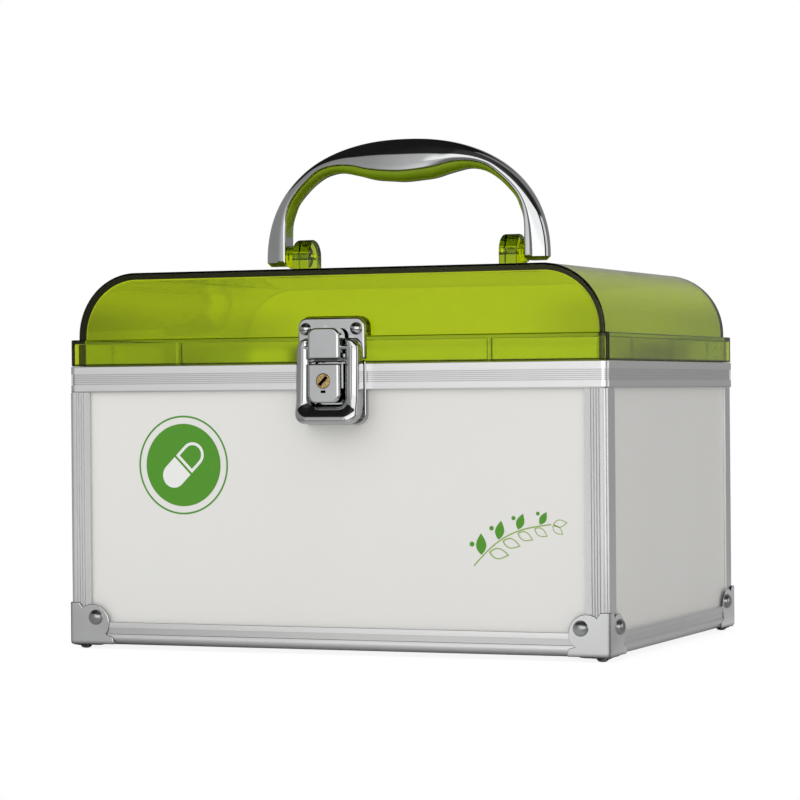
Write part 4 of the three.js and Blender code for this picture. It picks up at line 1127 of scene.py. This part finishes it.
def dome(wall, base, front):
    """The dome, drawn in by a wall, from a base upwards and from so far behind the front."""

    def outline(y, inset):
        reach = wall + inset
        half, radius = HALF_WIDTH - DOME_SIDE - reach, SHOULDER - reach
        centre = LID_TOP - SHOULDER
        right = arc(half - radius, centre, radius, 0, 90, 28)
        left = arc(radius - half, centre, radius, 90, 180, 28)
        return [(x, y, z) for x, z in [(half, base), *right, *left, (-half, base)]]

    return rolled(outline, FRONT + front, BACK - front, DOME_ROUND)


def plan_at(start):
    """The skirt's plan at a height, inset from the case's faces."""

    def outline(z, inset):
        off = start + inset
        radius = max(SKIRT_RADIUS + SKIRT_INSET - off, 0.4)
        x, y = HALF_WIDTH - off, HALF_DEPTH - off
        return [(a, b + MIDDLE, z) for a, b in rounded(-x, -y, x, y, radius, radius, 10)]

    return outline


print("dome and skirt from", LID_LOW, "to", LID_TOP, "mm")

# %% [markdown]
# Small forms stand on the moulding: a pad behind the strike plate, upright ribs inside the
# skirt and two round-topped lugs with a bore for the handle's studs.

# %% Pad, lugs and ribs
PAD_LEFT, PAD_RIGHT, PAD_TOP, PAD_BACK = -13.9, 18.7, 149.9, 5.8
LUG_Z, LUG_RADIUS, BORE_RADIUS, LUG_SPAN = 181, 8, 1.6, (48.0, 56.9)
RIB_HALF, FRONT_RIBS, SIDE_RIBS = 0.9, (-74.6, 75.2), (-57, 0, 57)
RIB_NEAR, RIB_FAR, PAD_CORNERS = 1.4, 4.5, (0.4, 4.9)
LEDGE_ROUND, PAD_ROUND, SKIRT_ROUND, LUG_ROUND = 0.5, 0.7, 0.6, 1.2


def front_pad(y, inset):
    sides = (PAD_LEFT + inset, LEDGE_Z, PAD_RIGHT - inset, PAD_TOP - inset)
    return [(x, y, z) for x, z in rounded(*sides, *PAD_CORNERS)]


def lug_at(x, inset):
    radius, foot = LUG_RADIUS - inset, LID_TOP - 1.2
    outline = [(radius, foot), *arc(0, LUG_Z, radius, 0, 180, 32), (-radius, foot)]
    return [(x, MIDDLE + y, z) for y, z in outline]


def rib(x0, x1, y0, y1):
    corners = [(x0, y0), (x1, y0), (x1, y1), (x0, y1)]
    return skin([[(x, y, z) for x, y in corners] for z in (LID_LOW, SKIRT_TOP - 0.9)])


hollow = rolled(plan_at(SKIRT_INSET + SKIRT_WALL), BELOW, LEDGE_Z, LEDGE_ROUND, (False, True))
pad = rolled(front_pad, FRONT + SKIRT_INSET, FRONT + PAD_BACK, PAD_ROUND, (True, False))
steps = [
    ("DIFFERENCE", hollow),
    ("UNION", dome(0, LID_LOW, DOME_FRONT)),
    ("DIFFERENCE", dome(WALL_SIDE, BELOW, DOME_FRONT + WALL_FRONT)),
    ("UNION", pad),
]
for x in FRONT_RIBS:
    steps.append(("UNION", rib(x - RIB_HALF, x + RIB_HALF, FRONT + RIB_NEAR, FRONT + PAD_BACK)))
for side in (-1, 1):
    near, far = sorted((side * (HALF_WIDTH - RIB_NEAR), side * (HALF_WIDTH - RIB_FAR)))
    for y in SIDE_RIBS:
        steps.append(("UNION", rib(near, far, MIDDLE + y - RIB_HALF, MIDDLE + y + RIB_HALF)))
    low, high = sorted(side * x for x in LUG_SPAN)
    bore = circle(0, LUG_Z, BORE_RADIUS, 24)
    steps.append(("UNION", rolled(lug_at, low, high, LUG_ROUND)))
    through = skin([[(x, MIDDLE + a, z) for a, z in bore] for x in (low - 2, high + 2)])
    steps.append(("DIFFERENCE", through))
lid = carved(rolled(plan_at(SKIRT_INSET), LID_LOW, SKIRT_TOP, SKIRT_ROUND), *steps)
piece("lid_moulding", outward(lid), "lid", "clear_green", clear_green, "lid_shell", smooth=35)

# %% [markdown]
# ## Handle
# The handle is a chromed half shell with a green insert on its inner side. The section swells
# from the feet to the grip and the inner edge waves for the fingers. A sculpted mesh could
# follow that, but rings of points along two smooth curves keep it even. The curves are tables
# of shares of the handle's own sizes, smoothed by a spline that goes through every point, and
# shell and insert share their border.

# %% Handle curves
HANDLE_HALF, LEG_INNER, HANDLE_SHIFT = 71.6, 60.5, -0.9
FOOT_Z, RISE, ARCH_POWER = 176.5, 58.7, 2.25
INNER_SHARES = (
    (0.985, 0), (0.985, 0.138), (0.978, 0.255), (0.962, 0.375), (0.929, 0.482), (0.86, 0.572),
    (0.775, 0.654), (0.669, 0.717), (0.537, 0.741), (0.383, 0.712), (0.248, 0.676), (0.129, 0.663),
    (0, 0.654),
)
BORDER_SHARES = (
    (1, 0), (1, 0.138), (1, 0.261), (0.99, 0.382), (0.954, 0.494), (0.886, 0.591), (0.802, 0.676),
    (0.702, 0.753), (0.574, 0.79), (0.426, 0.789), (0.278, 0.756), (0.144, 0.738), (0, 0.729),
)


def arch_table(shares):
    right = [(a * LEG_INNER, FOOT_Z + up * RISE) for a, up in shares]
    return np.array([(-x, z) for x, z in right[:-1]] + right[::-1])


def on_curve(points, share):
    """A point of the smooth curve through a table."""
    place = (len(points) - 1) * share
    i = min(int(place), len(points) - 2)
    t = place - i
    a, b, c, d = (points[min(max(k, 0), len(points) - 1)] for k in (i - 1, i, i + 1, i + 2))
    slope_b, slope_c = (c - a) / 2, (d - b) / 2
    curve = (2 * b - 2 * c + slope_b + slope_c) * t**3
    return curve + (3 * c - 3 * b - 2 * slope_b - slope_c) * t**2 + slope_b * t + b


def outer_point(share, side):
    angle = math.pi / 2 * share
    x = HANDLE_HALF * math.cos(angle) ** (2 / ARCH_POWER)
    return np.array((side * x, FOOT_Z + RISE * math.sin(angle) ** (2 / ARCH_POWER)))


inner_curve, border_curve = arch_table(INNER_SHARES), arch_table(BORDER_SHARES)
print("handle curves of", len(inner_curve), "points")

# %% Handle rings
GRIP_HALF, LEG_HALF, SWELL_POWER, FOOT_LIFT = 9.0, 5.2, 1.7, 1.8
STATIONS, RING_POINTS, ROLL_POINTS = 144, 41, 7


def unit(vector):
    return vector / max(np.linalg.norm(vector), MERGE)


def handle_ring(near, far, half_depth, lift, power, roll):
    """Flat along the near point with rolled edges, and domed towards the far one."""
    way = unit(far - near)
    near = near + way * roll
    ring = []
    for i in range(ROLL_POINTS):
        turn = math.pi / 2 * i / ROLL_POINTS
        x, z = near - way * roll * math.cos(turn)
        back = half_depth - roll * (1 - math.sin(turn))
        ring.append((x + HANDLE_SHIFT, -back + MIDDLE, z + lift))
    for i in range(RING_POINTS):
        angle = math.pi * i / (RING_POINTS - 1) - math.pi / 2
        across = math.copysign(abs(math.sin(angle)) ** (2 / power), angle)
        x, z = near + (far - near) * max(math.cos(angle), 0) ** (2 / power)
        ring.append((x + HANDLE_SHIFT, half_depth * across + MIDDLE, z + lift))
    return ring + [(x, 2 * MIDDLE - y, z) for x, y, z in reversed(ring[:ROLL_POINTS])]


def arch_rings(far_at, inset, skipped, power, roll, sunk):
    """Rings along the arch from the border to a far curve, less some at each foot."""
    rings = []
    for i in range(skipped, STATIONS - skipped + 1):
        along = i / STATIONS
        share = 1 - abs(1 - 2 * along)
        width = abs(outer_point(share, 1)[0]) / HANDLE_HALF
        half_depth = LEG_HALF + (GRIP_HALF - LEG_HALF) * (1 - width**2) ** SWELL_POWER - inset
        near, far = on_curve(border_curve, along), far_at(along, share)
        near, lift = near + unit(near - far) * sunk, FOOT_LIFT * (1 - share) ** 4
        rings.append(handle_ring(near, far, half_depth, lift, power, roll))
    return rings


print("handle rings of", RING_POINTS + 2 * ROLL_POINTS, "points")

# %% Handle shell and insert
FOOT_ROUND, FADE_START, FADE_LENGTH = 1.8, 0.13, 0.16


def shell_far(along, share):
    return outer_point(share, -1 if along < 0.5 else 1)


def insert_far(along, share):
    """The inner curve, drawn back to the shell at both ends."""
    border = on_curve(border_curve, along)
    fade = min(max((share - FADE_START) / FADE_LENGTH, 0), 1)
    return border + (on_curve(inner_curve, along) - border) * max(fade, 0.1)


def foot_cap(ring):
    """The ring drawn in and set on the foot's level."""
    middle = np.mean(ring, axis=0)
    drawn = [point + unit((middle - point) * (1, 1, 0)) * FOOT_ROUND for point in np.array(ring)]
    return [(*point[:2], FOOT_Z) for point in drawn]


shell_rings = arch_rings(shell_far, inset=0, skipped=0, power=2.6, roll=1.0, sunk=0)
shell = skin([foot_cap(shell_rings[0]), *shell_rings, foot_cap(shell_rings[-1])])
piece("handle_chrome", shell, "handle", "chrome", chrome, "handle_shell")
insert = skin(arch_rings(insert_far, inset=0.7, skipped=10, power=2.4, roll=0, sunk=0.5))
piece("handle_green", insert, "handle", "clear_green", insert_green, "handle_insert")

# %% [markdown]
# ## Latch
# The latch is die-cast and polished, so its looks are all in the roundness of its edges. A
# bevel modifier gives every edge one width, while here the sides are rounder than the ends.
# So each block is a skin through rounded rectangles. Places across are counted from the
# latch's own middle, and depths are counted outwards from the case's front. A block's form
# is its back and front, the radii of its low and high corners, and how round its sides and
# ends are. A box's form is its back and front, and its low and high end.

# %% Latch tools
LATCH_X = 2.4


def facing(outline, out):
    """A flat outline set at a distance out from the case's front."""
    return [(LATCH_X + x, FRONT - out, z) for x, z in outline]


def block(half, low, high, back, front, low_radius, high_radius, side_round, end_round):
    """A closed block on the latch's middle with a rounded front."""
    depths = [(0, back)] + [(drawn, front - side_round * left) for drawn, left in quarter(8)]
    rings = []
    for drawn, out in depths:
        ix, iz = side_round * drawn, end_round * drawn
        radii = [max(r - min(ix, iz), 0.2) for r in (low_radius, high_radius)]
        rings.append(facing(rounded(ix - half, low + iz, half - ix, high - iz, *radii), out))
    return skin(rings)


def box(x0, x1, out0, out1, z0, z1):
    """A plain box between two distances out."""
    corners = [(x0, z0), (x1, z0), (x1, z1), (x0, z1)]
    return skin([facing(corners, out0), facing(corners, out1)])


def disc(out0, out1, z, radius, edge=0.0):
    """A round bar that points forwards, with a rounded front edge."""
    depths = [(0, out0)] + [(drawn, out1 - edge * left) for drawn, left in quarter(4)]
    return skin([facing(circle(0, z, radius - edge * drawn, 48), out) for drawn, out in depths])


def cross_bar(x0, x1, out, z, radius):
    """A round bar across the latch."""
    ends = circle(out, z, radius, 32)
    return skin([[(LATCH_X + x, FRONT - o, h) for o, h in ends] for x in (x0, x1)])


print("latch middle at", LATCH_X)

# %% [markdown]
# Two plates carry the latch. The base plate lies on the rail, and its lower part reaches back
# to the board. The strike plate on the lid has the slot that the hook points at.

# %% Base plate and strike plate
PLATE_HALF, BASE_FORM = 16, (0, LEAF_OUT, 5, 1, 0.5, 0.5)
FLANGE_TOP, FLANGE_FORM = 117.0, (-1.7, 0.5, 5, 0.5, 0.1, 0.1)
STRIKE_FORM = (-0.7, STRIKE_OUT, 1, 4.2, 0.9, 0.9)
SLOT_HALF, SLOT_FORM = 3.3, (STRIKE_OUT - 1.6, 5, 142.4, 146)
low, high = (end.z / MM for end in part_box("latch_base_plate"))
flange = block(PLATE_HALF, low, FLANGE_TOP, *FLANGE_FORM)
base_plate = joined(block(PLATE_HALF, low, high, *BASE_FORM), flange)
piece("latch_base", base_plate, "case", "chrome", chrome, "latch_base_plate")

low, high = (end.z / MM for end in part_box("strike_plate"))
strike = block(PLATE_HALF, low, high, *STRIKE_FORM)
slot = box(-SLOT_HALF, SLOT_HALF, *SLOT_FORM)
piece("latch_strike", cut(strike, slot), "lid", "chrome", chrome, "strike_plate")

# %% [markdown]
# The lock is the lower square, hollow behind its face, with a round hole for the key and a
# small mark under it. Two cheeks rise beside it and hold the studs that the lever turns on.

# %% Lock
SQUARE_HALF, SQUARE_OUT, SQUARE_EDGES = 7.6, 11.2, (1.3, 0.7)
LOCK_LOW, LOCK_HIGH, LOCK_FORM = 111.5, 128.8, (LEAF_OUT, SQUARE_OUT, 3.4, 0.9, *SQUARE_EDGES)
KEY_Z, KEY_RADIUS, KEY_GAP, THROUGH_FACE = 121.2, 3.3, 0.12, (9, 13)
HOLLOW_HALF, HOLLOW_FORM = 5.9, (-1, 9.7, 113, 127.3)
MARK_HALF, MARK_FORM = 1.15, (*THROUGH_FACE, 115.9, 117.1)
BAR_OUT, PIVOT_Z, EYE_RADIUS, STUD_RADIUS = 6.6, 136.0, 3, 1.2
CHEEK, CHEEK_FORM = (7.5, 8.0), (LEAF_OUT, 7.4, 118, LOCK_HIGH)
STUD, NECK_FORM = (7.7, 12.7), (2.7, 5.2, 126.8, PIVOT_Z)
lock_parts = [cut(
    block(SQUARE_HALF, LOCK_LOW, LOCK_HIGH, *LOCK_FORM),
    disc(*THROUGH_FACE, KEY_Z, KEY_RADIUS + KEY_GAP),
    box(-HOLLOW_HALF, HOLLOW_HALF, *HOLLOW_FORM),
    box(-MARK_HALF, MARK_HALF, *MARK_FORM),
)]
for side in (-1, 1):
    cheek, stud = (sorted(side * x for x in ends) for ends in (CHEEK, STUD))
    lock_parts += [box(*cheek, *CHEEK_FORM), box(*cheek, *NECK_FORM)]
    lock_parts.append(cross_bar(*cheek, BAR_OUT, PIVOT_Z, EYE_RADIUS))
    lock_parts.append(cross_bar(*stud, BAR_OUT, PIVOT_Z, STUD_RADIUS))
piece("latch_lock", joined(*lock_parts), "case", "chrome", chrome, "lock_body")

# %% [markdown]
# The lever is a U of round bars with a lip at the bottom that flares out for a finger. Its
# section changes all the way round, which a sweep can't follow, so matching points are set
# down the outer and the inner edge and a half-round ring joins each pair. The rings are then
# leaned and flared as a whole.

# %% Lever paths
LEVER_BACK, LEVER_CREST, LEVER_WALL = 2.6, 7.8, 1.2
LEVER_LOW, LEVER_HIGH, CUP_Z, LAP_TOP = 102.2, 140.2, 110.9, 131
LEVER_HALF, MOUTH_HALF = 15.3, 8.15
TOP_ROUND, LOW_ROUND, CUP_ROUND, EYE_ROUND = 5.6, 5.4, 3, 4.2
LEAN, FLARE = 0.04, 0.34


def lever_paths():
    """Matching points down the outer and the inner edge of the U, from left to right."""
    start = LEVER_HIGH - TOP_ROUND
    outer = arc(TOP_ROUND - LEVER_HALF, start, TOP_ROUND, 100, 180, 10)
    inner = [(-MOUTH_HALF, z) for _, z in outer]
    for share in (i / 8 for i in range(1, 8)):
        outer.append((-LEVER_HALF, start + (LEVER_LOW + LOW_ROUND - start) * share))
        inner.append((-MOUTH_HALF, start + (CUP_Z + CUP_ROUND - start) * share))
    outer += arc(LOW_ROUND - LEVER_HALF, LEVER_LOW + LOW_ROUND, LOW_ROUND, 180, 270, 12)
    inner += arc(CUP_ROUND - MOUTH_HALF, CUP_Z + CUP_ROUND, CUP_ROUND, 180, 270, 12)
    halves = outer + [(0, LEVER_LOW)], inner + [(0, CUP_Z)]
    return [row + [(-x, z) for x, z in reversed(row[:-1])] for row in halves]


print("lever of", len(lever_paths()[0]), "rings")

# %% Lever rings


def lever_ring(edge, mouth, count=18, power=2.5):
    """A half-round section between an outer and an inner point."""
    wide = math.dist(edge, mouth)
    crest = min(LEVER_CREST - LEVER_BACK - LEVER_WALL, wide * 0.8)
    low = edge[1] if edge[1] < LAP_TOP else mouth[1]
    lap = min(1.3, max(LAP_TOP - low, 0) * 0.5)
    within = tuple(e + (m - e) * LEVER_WALL / wide for e, m in zip(edge, mouth))
    ring = [(*within, LEVER_BACK), (*within, LEVER_BACK - lap), (*edge, LEVER_BACK - lap)]
    for i in range(count + 1):
        across = math.cos(math.pi * i / count)
        share = (1 - math.copysign(abs(across) ** (2 / power), across)) / 2
        rise = math.sin(math.pi * i / count) ** (2 / power)
        x, z = (e + (m - e) * share for e, m in zip(edge, mouth))
        ring.append((x, z, LEVER_BACK + LEVER_WALL + crest * rise))
    return ring + [(*mouth, LEVER_BACK)]


def lever_place(x, z, out):
    """Leans the ring out a little, flares its lip for a finger and rounds the upper ends."""
    out += LEAN * max(PIVOT_Z - z, 0) + FLARE * max(CUP_Z - z, 0)
    if z > PIVOT_Z:
        reach = math.sqrt(max(EYE_ROUND**2 - (z - PIVOT_Z) ** 2, 0))
        out = min(max(out, BAR_OUT - reach), BAR_OUT + reach)
    return (LATCH_X + x, FRONT - out, z)


rings = [lever_ring(edge, mouth) for edge, mouth in zip(*lever_paths())]
lever = skin([[lever_place(*point) for point in ring] for ring in rings])
piece("latch_ring", lever, "lever", "chrome", chrome, "latch_lever")

# %% [markdown]
# The hook is the upper square, a block like the lock's. Two short knuckles take the lever's
# pin, and a nose behind its top points at the strike plate's slot.

# %% Hook
HOOK_LOW, HOOK_HIGH, HOOK_FORM = 130.9, 144.5, (4.4, SQUARE_OUT, 0.9, 3.6, *SQUARE_EDGES)
KNUCKLES, KNUCKLE_Z, KNUCKLE_RADIUS = ((-7.4, -5.6), (5.6, 7.4)), 130.3, 1.0
NOSE_HALF, NOSE_FORM = 2.8, (2.5, 5.7, 143, HOOK_HIGH)
hook_square = block(SQUARE_HALF, HOOK_LOW, HOOK_HIGH, *HOOK_FORM)
knuckles = [cross_bar(*ends, BAR_OUT, KNUCKLE_Z, KNUCKLE_RADIUS) for ends in KNUCKLES]
hook = joined(hook_square, *knuckles, box(-NOSE_HALF, NOSE_HALF, *NOSE_FORM))
piece("latch_hook_cap", hook, "hook", "chrome", chrome, "latch_hook")

# %% [markdown]
# The key cylinder is turned brass with a saw-cut slot at 45 degrees and a small cam behind
# it. The slot is cut for real, so it turns with the cylinder.

# %% Key cylinder
KEY_BACK, KEY_FRONT, KEY_ROUND = 4.2, 11.45, 0.4
SLOT_LENGTH, SLOT_WIDTH, SLOT_BACK, SLOT_FRONT = 5.2, 1.5, 5.4, 14
CAM_HALF, CAM_FORM = 1.5, (3.5, 4.9, KEY_Z - 5, KEY_Z)
signs = ((-1, -1), (1, -1), (1, 1), (-1, 1))
corners = [(x * SLOT_LENGTH / 2, z * SLOT_WIDTH / 2) for x, z in signs]
turned = [((x - z) * math.sqrt(0.5), KEY_Z + (x + z) * math.sqrt(0.5)) for x, z in corners]
key_slot = skin([facing(turned, SLOT_BACK), facing(turned, SLOT_FRONT)])
barrel = cut(disc(KEY_BACK, KEY_FRONT, KEY_Z, KEY_RADIUS, KEY_ROUND), key_slot)
key = joined(barrel, box(-CAM_HALF, CAM_HALF, *CAM_FORM))
piece("key_barrel", key, "key", "brass", brass, "key_cylinder")

# %% [markdown]
# ## Prints on the front board
# Two prints lie on the front board: a round badge with a capsule on the left and a leaf sprig
# on the right. An image texture could carry them, but a part without picture files stays
# sharp at any distance. Ink has a thickness of its own here, so each print is a very thin
# closed solid that starts just inside the board's face.

# %% Print tools
BOARD_OUT, INK_THICK = -1.8, 0.05
INK_BACK, INK_FRONT, WHITE_FRONT = BOARD_OUT - INK_THICK, BOARD_OUT + INK_THICK, BOARD_OUT + 0.08


def ink(name, low, high):
    """A printed colour with a slight grain."""
    return finish(name, clouded(low, high, 900, 2), uneven(0.34, 0.1, 300, 2))


ink_green = ink("ink_green", (0.062, 0.275, 0.004), (0.078, 0.315, 0.007))
ink_lime = ink("ink_lime", (0.26, 0.40, 0.06), (0.30, 0.45, 0.08))
ink_white = ink("ink_white", (0.84, 0.84, 0.82), (0.88, 0.88, 0.86))


def band(outer, inner):
    """A flat closed band between two outlines of as many points, as rows of four corners."""
    return [((*o, 0), (*o, 1), (*i, 1), (*i, 0)) for o, i in zip(outer, inner)]


def printed(rows, place, loop=True):
    """A band of rows, with each corner set by a function."""
    return skin([[place(*corner) for corner in row] for row in rows], loop)


def stamped(outline, place):
    """A filled print."""
    return skin([[place(x, z, layer) for x, z in outline] for layer in (0, 1)])


def on_board(centre, angle, front):
    """Sets a print's own corners on the front board, turned by an angle in degrees."""
    c, s = math.cos(math.radians(angle)), math.sin(math.radians(angle))

    def place(x, z, layer):
        out = front if layer else INK_BACK
        return (centre[0] + x * c - z * s, FRONT - out, centre[1] + x * s + z * c)

    return place


print("inks:", ink_green.name, ink_lime.name, ink_white.name)

# %% [markdown]
# The badge is a green disc in a thin ring. A white capsule lies across it at 45 degrees, one
# half filled and the other drawn in outline, and stands a hair above the green.

# %% Badge
BADGE, DISC, RING = (-72.65, 84.0), 18.6, (22.3, 21.5)
HALF_GAP, CAP_X, CAP_RADIUS, CAP_LINE = 0.5, 6.6, 5.6, 1.3
flat, tilted = on_board(BADGE, 0, INK_FRONT), on_board(BADGE, 45, WHITE_FRONT)
ring_print = printed(band(*(circle(0, 0, radius, 120) for radius in RING)), flat)
badge = joined(stamped(circle(0, 0, DISC, 96), flat), ring_print)
piece("badge_green", badge, "case", "board", ink_green)


def capsule_end(inset):
    """The open half's outline, drawn in by an inset."""
    x, radius = HALF_GAP + inset, CAP_RADIUS - inset
    return arc(CAP_X, 0, radius, -90, 90, 24) + [(x, radius), (x, -radius)]


filled_half = arc(-CAP_X, 0, CAP_RADIUS, 90, 270, 24)
filled_half += [(-HALF_GAP, -CAP_RADIUS), (-HALF_GAP, CAP_RADIUS)]
open_half = printed(band(capsule_end(0), capsule_end(CAP_LINE)), tilted)
piece("badge_white", joined(stamped(filled_half, tilted), open_half), "case", "board", ink_white)

# %% [markdown]
# The sprig grows by a rule, so it is a Geometry Nodes tree: one leaf is set along a bent stem
# again and again, each smaller than the one before and turned out to its side. The same tree
# sets the filled leaves on one side, the open leaves on the other and the berries between.

# %% Sprig tree
STEM_LENGTH, STEM_SAG, STEM_TILT, STEM_HALF = 40.0, 4.6, 27.0, 0.3
SPRIG_FOOT = (67.5, 40.5)


def sprig_tree():
    labels = ("Count", "First", "Side", "Spread", "Shrink")
    graph, given = geometry_tree("sprig", *labels)
    row = graph.node("GeometryNodeMeshLine", {"Count": given["Count"].math("ROUND")})
    share = given["First"] + graph.node("GeometryNodeInputIndex") / given["Count"]
    sag = (share * math.pi).math("SINE") * (STEM_SAG * MM)
    row = moved_to(graph, row, graph.vector(share * (STEM_LENGTH * MM), sag, 0.0))
    turn = (0.5 - share) * 0.7 + given["Side"] * given["Spread"]
    size = 1 - given["Shrink"] * share
    spread = {"Points": row, "Instance": given["Geometry"]}
    spread.update(Rotation=graph.vector(0.0, 0.0, turn), Scale=graph.vector(size, size, 1.0))
    stand = {"Geometry": graph.node("GeometryNodeInstanceOnPoints", spread)}
    stand["Rotation"] = (math.pi / 2, math.radians(-STEM_TILT), 0)
    stand["Translation"] = Vector((SPRIG_FOOT[0], FRONT - BOARD_OUT, SPRIG_FOOT[1])) * MM
    return close_tree(graph, graph.node("GeometryNodeTransform", stand), given)


sprig_rule = sprig_tree()
print("sprig tree:", len(sprig_rule.nodes), "nodes")

# %% Sprig


def own_plane(x, y, layer):
    return (x, y, INK_THICK if layer else -INK_THICK)


def leaf_outline(length, half, inset=0.0, steps=12):
    """A pointed leaf along x, drawn in by an inset."""
    upper = []
    for t in (i / steps for i in range(steps + 1)):
        x = 1.2 + inset * 1.6 + (length - 1.2 - inset * 3.4) * t
        upper.append((x, (half - inset) * math.sin(math.pi * t**0.85)))
    return upper + [(x, -y) for x, y in reversed(upper[1:-1])]


def on_stem(shape, count, first, side, spread, shrink):
    """Copies of a shape along the stem, from the first one's share of its length."""
    values = {"count": count, "first": first, "side": side, "spread": spread, "shrink": shrink}
    return outward(grown(shape, sprig_rule, **values))


LEAF, FULL_LEAF, OPEN_LINE = (11.5, 2.7), (11.0, 2.5), 0.55
open_leaf = printed(band(leaf_outline(*LEAF), leaf_outline(*LEAF, OPEN_LINE)), own_plane)
full_leaf = stamped(leaf_outline(*FULL_LEAF), own_plane)
berry = stamped(circle(7.4, 0, 1.15, 24), own_plane)
filled = on_stem(full_leaf, 4.0, 0.12, 1.0, 0.85, 0.42)
open_ones = on_stem(open_leaf, 5.0, 0.2, -1.0, 0.8, 0.4)
tip = on_stem(open_leaf, 1.0, 1.0, 0.0, 0.0, 0.35)
berries = on_stem(berry, 4.0, 0.13, 1.0, 1.55, 0.3)

stem_line = [(t / 24 * STEM_LENGTH, STEM_SAG * math.sin(math.pi * t / 24)) for t in range(25)]
edges = ([(x, y + half) for x, y in stem_line] for half in (STEM_HALF, -STEM_HALF))
stem = printed(band(*edges), on_board(SPRIG_FOOT, STEM_TILT, INK_FRONT), loop=False)
piece("sprig_green", joined(filled, berries), "case", "board", ink_green)
piece("sprig_lime", joined(open_ones, tip, stem), "case", "board", ink_lime)

# %% [markdown]
# ## Carried-over solids
# The flat boards, the pins and the handle's studs already have the right shape. They keep
# their CAD meshes and only get a finish that suits how they are made.

# %% Finishes for the rest
FINISHES = {
    "panel": board,
    "hinge_pin": rivet_steel,
    "hook_pin": rivet_steel,
    "handle_pivot": clear_green,
}
for part, material in FINISHES.items():
    solids = [solid for name, solid in nodes.items() if part in name]
    for solid in solids:
        solid.data.materials.clear()
        solid.data.materials.append(material)
    print(part, len(solids))
